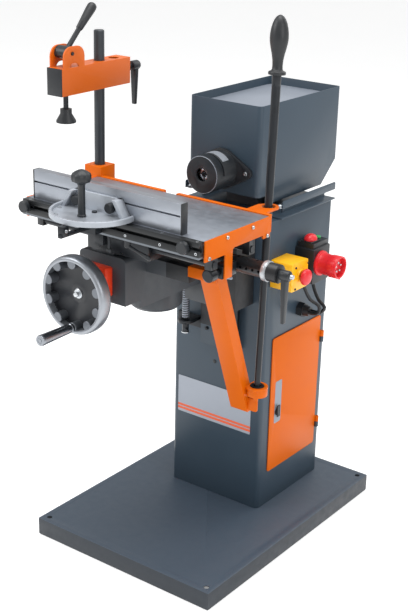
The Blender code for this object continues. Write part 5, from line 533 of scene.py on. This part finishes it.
# the lift screw: a turned core with its thread, drawn with a 6 mm pitch so that it shows in the picture
liftScrew = {"axis": (-0.070, -0.024), "foot": 0.494, "low": 0.532, "high": 0.782, "coreMm": 8.4, "pitchMm": 6.0,
             "toothMm": 2.0, "sunkMm": 0.3, "steps": 20, "profileMm": [(7.4, 0), (8.4, 1), (8.4, 289)],
             "washerMm": [(9.9, 0), (9.9, 2.2), (8.0, 2.4)]}
clearSelection()
bpy.ops.mesh.primitive_circle_add(vertices=3, radius=liftScrew["toothMm"] / 1000, fill_type="NOTHING", location=origin,
                                  rotation=(math.radians(90), 0, 0))
openPiece()
selectAll()
bpy.ops.transform.rotate(value=math.radians(90), orient_axis="Y", center_override=origin)
bpy.ops.transform.translate(value=((liftScrew["coreMm"] - liftScrew["sunkMm"]) / 1000, 0, 0))
threadMm = (liftScrew["high"] - liftScrew["low"]) * 1000
applyModifier("helix", "SCREW", axis="Z", screw_offset=liftScrew["pitchMm"] / 1000,
              iterations=int(threadMm / liftScrew["pitchMm"]), steps=liftScrew["steps"],
              render_steps=liftScrew["steps"], use_merge_vertices=False)
bpy.context.object.location = (*liftScrew["axis"], liftScrew["low"])
openPiece()
selectAll()
bpy.ops.mesh.normals_make_consistent(inside=False)
thread = closePiece()
addTurned((*liftScrew["axis"], liftScrew["foot"]), upward, liftScrew["profileMm"])
finishPiece("liftCore", blackOxide, "frame", replaced=["lift_screw"])
joinPieces([thread])
finishPiece("liftThread", lidGrey, "frame", angle=25)
addTurned((*liftScrew["axis"], liftScrew["foot"]), upward, liftScrew["washerMm"])
finishPiece("screwWasher", zincSteel, "frame")

# flat wing nut under the plunger block
wingNut = {"foot": (0.236, -0.284, 0.7862), "hubMm": [(5.5, 0), (8.2, 0.8), (8.2, 5.5), (6.5, 8.2), (1.0, 8.6)],
           "wing": ((0.2235, -0.2868, 0.7774), (0.2485, -0.2812, 0.7832)), "edgeMm": 1.8}
addTurned(wingNut["foot"], (0, 0, -1), wingNut["hubMm"], sides=20)
hub = closePiece()
addBlock(*wingNut["wing"])
roundEdges(wingNut["edgeMm"], segments=3)
joinPieces([hub, closePiece()])
finishPiece("wingNut", lidGrey, "table")

# a small clamping lever and its nut under the front rail
underClamp = {"hub": (0.052, -0.3920, 0.8495), "hubMm": [(7, 0), (7, 14), (5.5, 16), (3, 16.4)],
              "armFoot": (0.052, -0.392, 0.838), "armEnd": (0.112, -0.3915, 0.8205),
              "armMm": [(3.4, 0), (3.6, 30), (4.8, 52), (5.2, 60), (3.8, 65), (1.0, 66)]}
addTurned(underClamp["hub"], (0, 0, -1), underClamp["hubMm"], sides=20)
hub = closePiece()
addTurned(underClamp["armFoot"], Vector(underClamp["armEnd"]) - Vector(underClamp["armFoot"]), underClamp["armMm"],
          sides=16)
joinPieces([hub, closePiece()])
finishPiece("underRailLever", blackNylon, "table")
underStop = {"block": ((-0.036, -0.4000, 0.8255), (-0.010, -0.3850, 0.8497)), "edgeMm": 1.2,
             "screw": (0.001, -0.3925, 0.8497),
             "screwMm": [(3.0, 0), (3.0, 30), (5.2, 30), (5.2, 36), (4.0, 38), (1.0, 38.4)]}
addBlock(*underStop["block"])
roundEdges(underStop["edgeMm"])
block = closePiece()
addTurned(underStop["screw"], (0, 0, -1), underStop["screwMm"], sides=16)
joinPieces([block, closePiece()])
finishPiece("underRailStop", blackOxide, "table")
print("thread and small clamps modelled")

# motor hood: one bent sheet with soft corners, cut away at the lower back and over the front slot
hoodSheet = {"low": (-0.103, 0.018, 0.838), "high": (0.103, 0.363, 1.077), "frontCornerMm": 12, "rearCornerMm": 4.8,
             "sheetMm": 2.0, "slant": ((0, 0.363, 0.897), (0, 0.290, 0.832)), "frontLow": 0.861, "frontReach": 0.062,
             "middleY": 0.2, "edgeMm": 0.6}
addBlock(hoodSheet["low"], hoodSheet["high"])
pickEdges(lambda middle, along: abs(along.z) > parallel and middle.y < hoodSheet["middleY"])
bevelPicked(hoodSheet["frontCornerMm"], segments=8)
pickEdges(lambda middle, along: abs(along.z) > parallel and middle.y > hoodSheet["middleY"])
bevelPicked(hoodSheet["rearCornerMm"], segments=4)
pickFaces(lambda middle, normal: abs(normal.z) > parallel)
bpy.ops.mesh.delete(type="FACE")
slantLine = Vector(hoodSheet["slant"][0]) - Vector(hoodSheet["slant"][1])
cutAcross(hoodSheet["slant"][0], (0, slantLine.z, -slantLine.y), clear_outer=True)
cutAcross((0, 0, hoodSheet["frontLow"]), (0, 0, 1))
cutAcross((0, hoodSheet["frontReach"], 0), (0, 1, 0))
pickFaces(lambda middle, normal: middle.z < hoodSheet["frontLow"] and middle.y < hoodSheet["frontReach"])
bpy.ops.mesh.delete(type="FACE")
selectAll()
bpy.ops.mesh.normals_make_consistent(inside=False)
applyModifier("sheet", "SOLIDIFY", thickness=hoodSheet["sheetMm"] / 1000, offset=-1.0)
roundEdges(hoodSheet["edgeMm"], angle=60)
finishPiece("hoodSheet", anthraciteCoat, "frame", replaced=["motor_hood"])

# rails that stand up along the motor plate's sides
plateRail = {"low": (0.1424, 0.062, 0.8340), "high": (0.1449, 0.298, 0.8530), "cornerMm": 4.0, "roundAbove": 0.85,
             "edgeMm": 0.5}
addBlock(plateRail["low"], plateRail["high"])
pickEdges(lambda middle, along: abs(along.x) > parallel and middle.z > plateRail["roundAbove"])
bevelPicked(plateRail["cornerMm"], segments=4)
rightRail = closePiece()
leftRail = copyOf(rightRail, Matrix.Translation((-plateRail["low"][0] - plateRail["high"][0], 0, 0)))
joinPieces([rightRail, leftRail])
roundEdges(plateRail["edgeMm"])
finishPiece("plateRails", anthraciteCoat, "frame")

# chuck guard: a light grey ring round its face as a painted highlight on its rim, and the bare plate bent over its top
guardHighlightRing = {"middle": (0, -0.0656, 0.917), "radius": 0.0432, "wire": 0.0011, "flatten": 0.6}
clearSelection()
bpy.ops.mesh.primitive_torus_add(major_radius=guardHighlightRing["radius"], minor_radius=guardHighlightRing["wire"], major_segments=64,
                                 minor_segments=10, rotation=(math.radians(90), 0, 0), location=guardHighlightRing["middle"])
openPiece()
selectAll()
bpy.ops.transform.resize(value=(1, guardHighlightRing["flatten"], 1), center_override=guardHighlightRing["middle"])
finishPiece("guardHighlightRing", lidGrey, "frame", angle=60)
guardPlate = {"middle": (0, -0.0195, 0.917), "radiusMm": 45.3, "size": (0.0006, 0.023, 0.0005), "fromDeg": -20,
              "sweepDeg": 68, "steps": 14}
rise, aside = onCircle(guardPlate["radiusMm"], guardPlate["fromDeg"])   # degrees from straight up
clearSelection()
bpy.ops.mesh.primitive_cube_add(size=1, rotation=(0, math.radians(guardPlate["fromDeg"]), 0),
                                location=Vector(guardPlate["middle"]) + Vector((aside, 0, rise)),
                                scale=guardPlate["size"])
openPiece()
pickFaces(lambda middle, normal: normal.x > parallel)
bpy.ops.mesh.spin(steps=guardPlate["steps"], angle=-math.radians(guardPlate["sweepDeg"]), center=guardPlate["middle"],
                  axis=(0, 1, 0))
selectAll()
bpy.ops.mesh.remove_doubles(threshold=0.00001)
bpy.ops.mesh.normals_make_consistent(inside=False)
finishPiece("guardPlate", castAluminium, "frame", angle=30)

# cam lever's sleeve grip, along the stalk; its end stays clear of the column
camSleeve = {"pivot": (-0.262, -0.238, 1.187), "angleDeg": 45.5, "from": 0.067,
             "profileMm": [(7.0, 0), (7.8, 1.5), (9.4, 28), (10.7, 46), (11.2, 56), (11.2, 62), (10.8, 65), (10.2, 67),
                           (8.8, 69), (7.2, 70.4), (1.0, 70.6)]}
swing = math.radians(camSleeve["angleDeg"])
sleeveWay = Vector((0, math.cos(swing), math.sin(swing)))
addTurned(Vector(camSleeve["pivot"]) + sleeveWay * camSleeve["from"], sleeveWay, camSleeve["profileMm"])
finishPiece("camSleeve", blackRubber, "cam", angle=40)

# emergency flap: a red dome in a black frame
flapDome = {"foot": (0.1638, 0.1632, 0.7385), "longer": 1.18,
            "profileMm": [(15.4, 0), (15.8, 1.5), (15.2, 5), (13.2, 9.5), (9.4, 13), (4.6, 15), (1.0, 15.4)]}
addTurned(flapDome["foot"], upward, flapDome["profileMm"], sides=36)
selectAll()
bpy.ops.transform.resize(value=(1, flapDome["longer"], 1), center_override=flapDome["foot"])
finishPiece("flapDome", redAbs, "flap_body", angle=50, replaced=["stop_flap"])
flapFrame = {"low": (0.1468, 0.1420, 0.7362), "high": (0.1808, 0.1844, 0.7400), "cornerMm": 4.0, "border": 0.0022,
             "sunk": -0.0012, "edgeMm": 0.5}
addBlock(flapFrame["low"], flapFrame["high"])
pickEdges(lambda middle, along: abs(along.z) > parallel)
bevelPicked(flapFrame["cornerMm"], segments=4)
pickFaces(lambda middle, normal: normal.z > parallel)
bpy.ops.mesh.inset(thickness=flapFrame["border"], depth=0)
bpy.ops.mesh.extrude_region_move(TRANSFORM_OT_translate={"value": (0, 0, flapFrame["sunk"])})
roundEdges(flapFrame["edgeMm"], angle=50)
finishPiece("flapFrame", blackNylon, "flap_body")
print("hood, rails, guard trim, sleeve and flap modelled")

# mitre gauge: a half dish with a raised rim, and its wall with a thick sloped web at each end
gaugeCast = {"middle": (-0.033, -0.4003, 0.8909), "back": -0.3836,
             "profileMm": [(96, 0), (97, 1), (97, 11.2), (96.2, 12), (91, 12), (90.2, 11.2), (89.5, 6), (88, 5),
                           (1, 5)],
             "wall": ((-0.127, -0.3915, 0.8912), (0.059, -0.3836, 0.9345)), "slopeRun": 0.027,
             "webMm": 11, "webSpan": 0.05, "webFront": -0.4080, "edgeMm": 0.8}
addTurned(gaugeCast["middle"], upward, gaugeCast["profileMm"], sides=72)
cutAcross((0, gaugeCast["back"], 0), (0, 1, 0), clear_outer=True, use_fill=True)
castParts = [closePiece()]
wallLow, wallHigh = gaugeCast["wall"]
wallEnds = [(side, foot, (side * (wallHigh[2] - wallLow[2]), 0, gaugeCast["slopeRun"]))
            for side, foot in ((-1, wallLow[0]), (1, wallHigh[0]))]
addBlock(wallLow, wallHigh)
for side, foot, slope in wallEnds:
    cutAcross((foot, 0, wallLow[2]), slope, clear_outer=True, use_fill=True)
roundEdges(gaugeCast["edgeMm"])
castParts.append(closePiece())
for side, foot, slope in wallEnds:
    inner = foot - side * gaugeCast["webMm"] / 1000
    reach = foot - side * gaugeCast["webSpan"]
    addBlock((min(foot, reach), gaugeCast["webFront"], wallLow[2]), (max(foot, reach), wallHigh[1], wallHigh[2]))
    cutAcross((foot, 0, wallLow[2]), slope, clear_outer=True, use_fill=True)
    cutAcross((inner, 0, wallLow[2]), slope, clear_inner=True, use_fill=True)
    roundEdges(gaugeCast["edgeMm"])
    castParts.append(closePiece())
joinPieces(castParts)
finishPiece("gaugeCasting", castAluminium, "gauge_disc", angle=40, replaced=["gauge_head"])
# its scale: a tick every 7.5 degrees on the rim, and the screws on its floor
gaugeScale = {"middle": (-0.033, -0.4003), "fromDeg": 200, "stepDeg": 7.5, "count": 19, "edgeMm": 0.05,
              "tick": (0.0005, 0.0046, 0.0003), "tickReachMm": 93.6, "tickZ": 0.9029,
              "screwDeg": (196, 232, 292, 344), "screwReachMm": 83, "screwZ": 0.8959}


def onGauge(reachMm, turnDeg, height):
    aside, back = onCircle(reachMm, turnDeg)
    return gaugeScale["middle"][0] + aside, gaugeScale["middle"][1] + back, height


addBlock([-value / 2 for value in gaugeScale["tick"]], [value / 2 for value in gaugeScale["tick"]])
roundEdges(gaugeScale["edgeMm"], segments=1)
tickMaster = closePiece()
ticks = []
for index in range(gaugeScale["count"]):
    turnDeg = gaugeScale["fromDeg"] + gaugeScale["stepDeg"] * index
    place = onGauge(gaugeScale["tickReachMm"], turnDeg, gaugeScale["tickZ"])
    ticks.append(copyOf(tickMaster, Matrix.Translation(place) @ Matrix.Rotation(math.radians(turnDeg + 90), 4, "Z")))
joinPieces(ticks)
finishPiece("gaugeTicks", blackNylon, "gauge_disc")
screwPlaces = [onGauge(gaugeScale["screwReachMm"], turnDeg, gaugeScale["screwZ"])
               for turnDeg in gaugeScale["screwDeg"]]
copiesAt(capMaster, screwPlaces, (0, 0, 1), grow=0.95)
finishPiece("gaugeScrews", zincSteel, "gauge_disc")

# the block and arm of its swivel stop, in front of the rail
gaugeStop = {"block": ((-0.036, -0.5120, 0.8680), (-0.021, -0.4930, 0.8900)),
             "arm": ((-0.033, -0.5150, 0.8660), (-0.023, -0.4045, 0.8740)),
             "screw": (-0.0212, -0.5025, 0.8800), "edgeMm": 1.0}
addBlock(*gaugeStop["block"])
roundEdges(gaugeStop["edgeMm"])
block = closePiece()
addBlock(*gaugeStop["arm"])
roundEdges(gaugeStop["edgeMm"])
joinPieces([block, closePiece()])
finishPiece("gaugeStop", blackOxide, "gauge_carrier")
copiesAt(capMaster, [gaugeStop["screw"]], (1, 0, 0), grow=0.9)
finishPiece("gaugeStopScrew", zincSteel, "gauge_carrier")

# the gauge's tall handle: a straight stem under a five lobed head
gaugeHandle = {"foot": (-0.033, -0.4403, 0.8895), "lobes": 5, "pinch": 0.88, "headOnly": 0.013, "hollows": -0.4,
               "profileMm": [(3, 0), (3, 7), (9.5, 7.2), (9.5, 10), (8.2, 11), (7.8, 40), (7.8, 74), (9.5, 78),
                             (14, 80.5), (20.0, 83), (21.4, 87), (21.4, 95), (19.6, 99.5), (14, 103.5), (7, 107),
                             (1, 108.8)]}
addTurned(gaugeHandle["foot"], upward, gaugeHandle["profileMm"], sides=40)
mesh = bmesh.from_edit_mesh(bpy.context.object.data)
for corner in mesh.verts:
    across = (corner.co - Vector(gaugeHandle["foot"])).xy
    swing = math.atan2(across.y, across.x) * gaugeHandle["lobes"]
    corner.select_set(across.length > gaugeHandle["headOnly"] and math.cos(swing) < gaugeHandle["hollows"])
mesh.select_flush_mode()
bmesh.update_edit_mesh(bpy.context.object.data)
bpy.ops.transform.resize(value=(gaugeHandle["pinch"], gaugeHandle["pinch"], 1), center_override=gaugeHandle["foot"])
finishPiece("gaugeHandle", blackNylon, "gauge_lock_body", angle=50, replaced=["gauge_lock"])

# fence: extrusion with one groove along its face and a nylon cap at each end
fenceBar = {"low": (-0.229, -0.383, 0.8863), "high": (0.188, -0.363, 0.9523), "grooveZ": (0.9236, 0.9276),
            "capsX": (-0.225, 0.184), "deepMm": 8, "edgeMm": 0.35}
addBlock(fenceBar["low"], fenceBar["high"])
for value in fenceBar["grooveZ"]:
    cutAcross((0, 0, value), (0, 0, 1))
for value in fenceBar["capsX"]:
    cutAcross((value, 0, 0), (1, 0, 0))
pickFaces(lambda middle, normal: normal.y < -parallel and fenceBar["grooveZ"][0] < middle.z < fenceBar["grooveZ"][1]
          and fenceBar["capsX"][0] < middle.x < fenceBar["capsX"][1])
bpy.ops.mesh.extrude_region_move(TRANSFORM_OT_translate={"value": (0, fenceBar["deepMm"] / 1000, 0)})
roundEdges(fenceBar["edgeMm"], angle=60)
finishPiece("fenceBar", cappedFence, "fence_body", replaced=["fence"])

# ratchet handles: a round hub with a flat arm that tapers to a rounded tip; one has a shank at its arm's tail
ratchet = {"hubMm": [(8.5, 0), (11.2, 0.6), (11.6, 3), (11.6, 22), (10.4, 25), (6.2, 26.4), (5.2, 27.6), (1, 27.8)],
           "armMm": (18.5, 12.5), "armAt": 0.0135, "tipShare": 0.62, "edgeMm": 2.2,
           "shankFoot": (-0.262, -0.0365, 1.1285), "shankMm": [(6.5, 0), (6.5, 26), (5.5, 29)]}
for name, body, node, foot, axis, armLow in (
        ("pitchBarHandle", "pitch_bar_handle", "index_handle", (0.340, -0.242, 0.800), (1, 0, 0), 0.6922),
        ("columnHandle", "column_lock", "clamp_handle", (-0.262, -0.0085, 1.1285), (0, 1, 0), 1.034)):
    addTurned(foot, axis, ratchet["hubMm"])
    parts = [closePiece()]
    axis = Vector(axis)
    middle = Vector(foot) + axis * ratchet["armAt"]
    half = Vector(upward).cross(axis) * ratchet["armMm"][0] / 2000 + axis * ratchet["armMm"][1] / 2000
    half = Vector([abs(value) for value in half])
    addBlock((middle.x - half.x, middle.y - half.y, armLow), (middle.x + half.x, middle.y + half.y, middle.z))
    pickFaces(lambda centre, normal: normal.z < -parallel)
    bpy.ops.transform.resize(value=(ratchet["tipShare"], ratchet["tipShare"], 1),
                             center_override=(middle.x, middle.y, armLow))
    roundEdges(ratchet["edgeMm"], segments=3)
    parts.append(closePiece())
    if node == "clamp_handle":
        addTurned(ratchet["shankFoot"], axis, ratchet["shankMm"], sides=24)
        parts.append(closePiece())
    joinPieces(parts)
    finishPiece(name, blackNylon, body, angle=40, replaced=[node])

# mains inlet: the insert with its five pins
inlet = {"foot": (0.2290, 0.170, 0.684), "insertMm": [(23, 0), (23, 7), (21.5, 8.5), (1, 8.5)], "pinsX": 0.2375,
         "pinMm": [(2.6, 0), (2.6, 4.6), (1.6, 5.8), (0.6, 6.0)], "reachMm": 11.5, "pinDeg": (18, 90, 162, 234, 306)}
addTurned(inlet["foot"], (1, 0, 0), inlet["insertMm"], sides=36)
finishPiece("inletInsert", redAbs, "frame", angle=40)
addTurned(origin, upward, inlet["pinMm"], sides=16)
pinMaster = closePiece()
pinPlaces = []
for turnDeg in inlet["pinDeg"]:
    aside, rise = onCircle(inlet["reachMm"], turnDeg)
    pinPlaces.append((inlet["pinsX"], inlet["foot"][1] + aside, inlet["foot"][2] + rise))
copiesAt(pinMaster, pinPlaces, (1, 0, 0))
finishPiece("inletPins", zincSteel, "frame")

# the brace's foot: a plate across its end, and the cup round the lever's bush
braceFoot = {"plate": ((0.190, -0.1310, 0.4020), (0.2235, -0.1270, 0.4330)), "cornerAt": (0.2, 0.42), "cornerMm": 6.0,
             "plateEdgeMm": 0.6, "cup": (0.216, -0.122, 0.4604), "cupMm": [(24.5, 0), (24.5, 17.0)], "wallMm": 2.5,
             "cupEdgeMm": 0.5}
addBlock(*braceFoot["plate"])
pickEdges(lambda middle, along: abs(along.y) > parallel and middle.x > braceFoot["cornerAt"][0]
          and middle.z < braceFoot["cornerAt"][1])
bevelPicked(braceFoot["cornerMm"], segments=4)
roundEdges(braceFoot["plateEdgeMm"])
footPlate = closePiece()
addTurned(braceFoot["cup"], (0, 0, -1), braceFoot["cupMm"], sides=48)
pickFaces(lambda middle, normal: abs(normal.z) > parallel)
bpy.ops.mesh.delete(type="FACE")
applyModifier("wall", "SOLIDIFY", thickness=braceFoot["wallMm"] / 1000, offset=-1.0)
roundEdges(braceFoot["cupEdgeMm"])
joinPieces([closePiece(), footPlate])
finishPiece("braceFoot", orangeCoat, "lift")

# small black screws at the slideway's foot, and the plug in the pedestal's front
footScrews = {"places": [(-0.052, -0.0440, 0.513), (-0.018, -0.0046, 0.512), (0.004, -0.0046, 0.514)]}
copiesAt(hexMaster, footScrews["places"], (0, -1, 0), grow=0.62)
finishPiece("slidewayScrews", blackOxide, "frame")
plug = {"foot": (-0.008, 0.0178, 0.417), "profileMm": [(5, 0), (5, 0.8), (4, 1.4), (1, 1.6)]}
addTurned(plug["foot"], (0, -1, 0), plug["profileMm"], sides=20)
finishPiece("pedestalPlug", blackNylon, "frame")
for master in (capMaster, hexMaster, padMaster, tickMaster, pinMaster):
    bpy.data.objects.remove(master, do_unlink=True)
print("gauge, fence, handles, inlet, brace foot and small screws modelled")

cameraSet = {
    "place": (1.6557, -2.2933, 1.6580),
    "right": (0.7997, 0.5999, 0.0237),
    "up": (-0.2330, 0.2737, 0.9332),
    "back": (0.5533, -0.7518, 0.3587),
    "focalPixels": 1236.65,
    "framePixels": 613,
    "sensorMm": 36.0,
}
clearSelection()
bpy.ops.object.camera_add()
camera = bpy.context.object
camera.name = "photoCamera"
turn = Matrix((cameraSet["right"], cameraSet["up"], cameraSet["back"])).transposed()
camera.matrix_world = Matrix.Translation(cameraSet["place"]) @ turn.to_4x4()
camera.data.sensor_fit = "VERTICAL"
camera.data.sensor_height = cameraSet["sensorMm"]
camera.data.lens = cameraSet["sensorMm"] * cameraSet["focalPixels"] / cameraSet["framePixels"]
camera.data.clip_end = 30
scene.camera = camera
scene.view_settings.view_transform = "Standard"   # colours come out as on the colour card

# four white panels: where each hangs, its side in metres and its power in watts
lights = {
    "key": ((-2.2, -2.4, 3.0), 1.8, 54),
    "fill": ((3.4, -0.8, 2.2), 2.2, 30),
    "back": ((0.8, 2.8, 2.8), 2.4, 26),
    "top": ((0.2, -0.2, 4.2), 3.0, 110),
}
studio = {"aim": (0, 0, 0.75), "worldStrength": 0.66, "floorSize": 60, "floorZ": -0.0005, "floorGlow": 0.30}
for name, (place, size, power) in lights.items():
    bpy.ops.object.light_add(type="AREA", location=place)
    lamp = bpy.context.object
    lamp.name = name + "Light"
    lamp.data.size = size
    lamp.data.energy = power
    lamp.rotation_euler = (Vector(studio["aim"]) - Vector(place)).to_track_quat("-Z", "Y").to_euler()
world = bpy.data.worlds.new("studio")
scene.world = world
world.use_nodes = True
background = world.node_tree.nodes["Background"]
background.inputs["Color"].default_value = srgb("#FFFFFF")
background.inputs["Strength"].default_value = studio["worldStrength"]

clearSelection()
bpy.ops.mesh.primitive_plane_add(size=studio["floorSize"], location=(0, 0, studio["floorZ"]))
floor = bpy.context.object
floor.name = "studioFloor"
paper, tree, shader = newMaterial("matt paper floor", "#F4F5F6", 0.75)
mottle(tree, shader, "#F8F9F9", "#FCFCFC", 400, 0.7, 0.8)
shader.inputs["Emission Color"].default_value = srgb("#FFFFFF")
shader.inputs["Emission Strength"].default_value = studio["floorGlow"]   # keeps the paper white to the horizon
floor.data.materials.append(paper)
print("camera, lights and floor set")
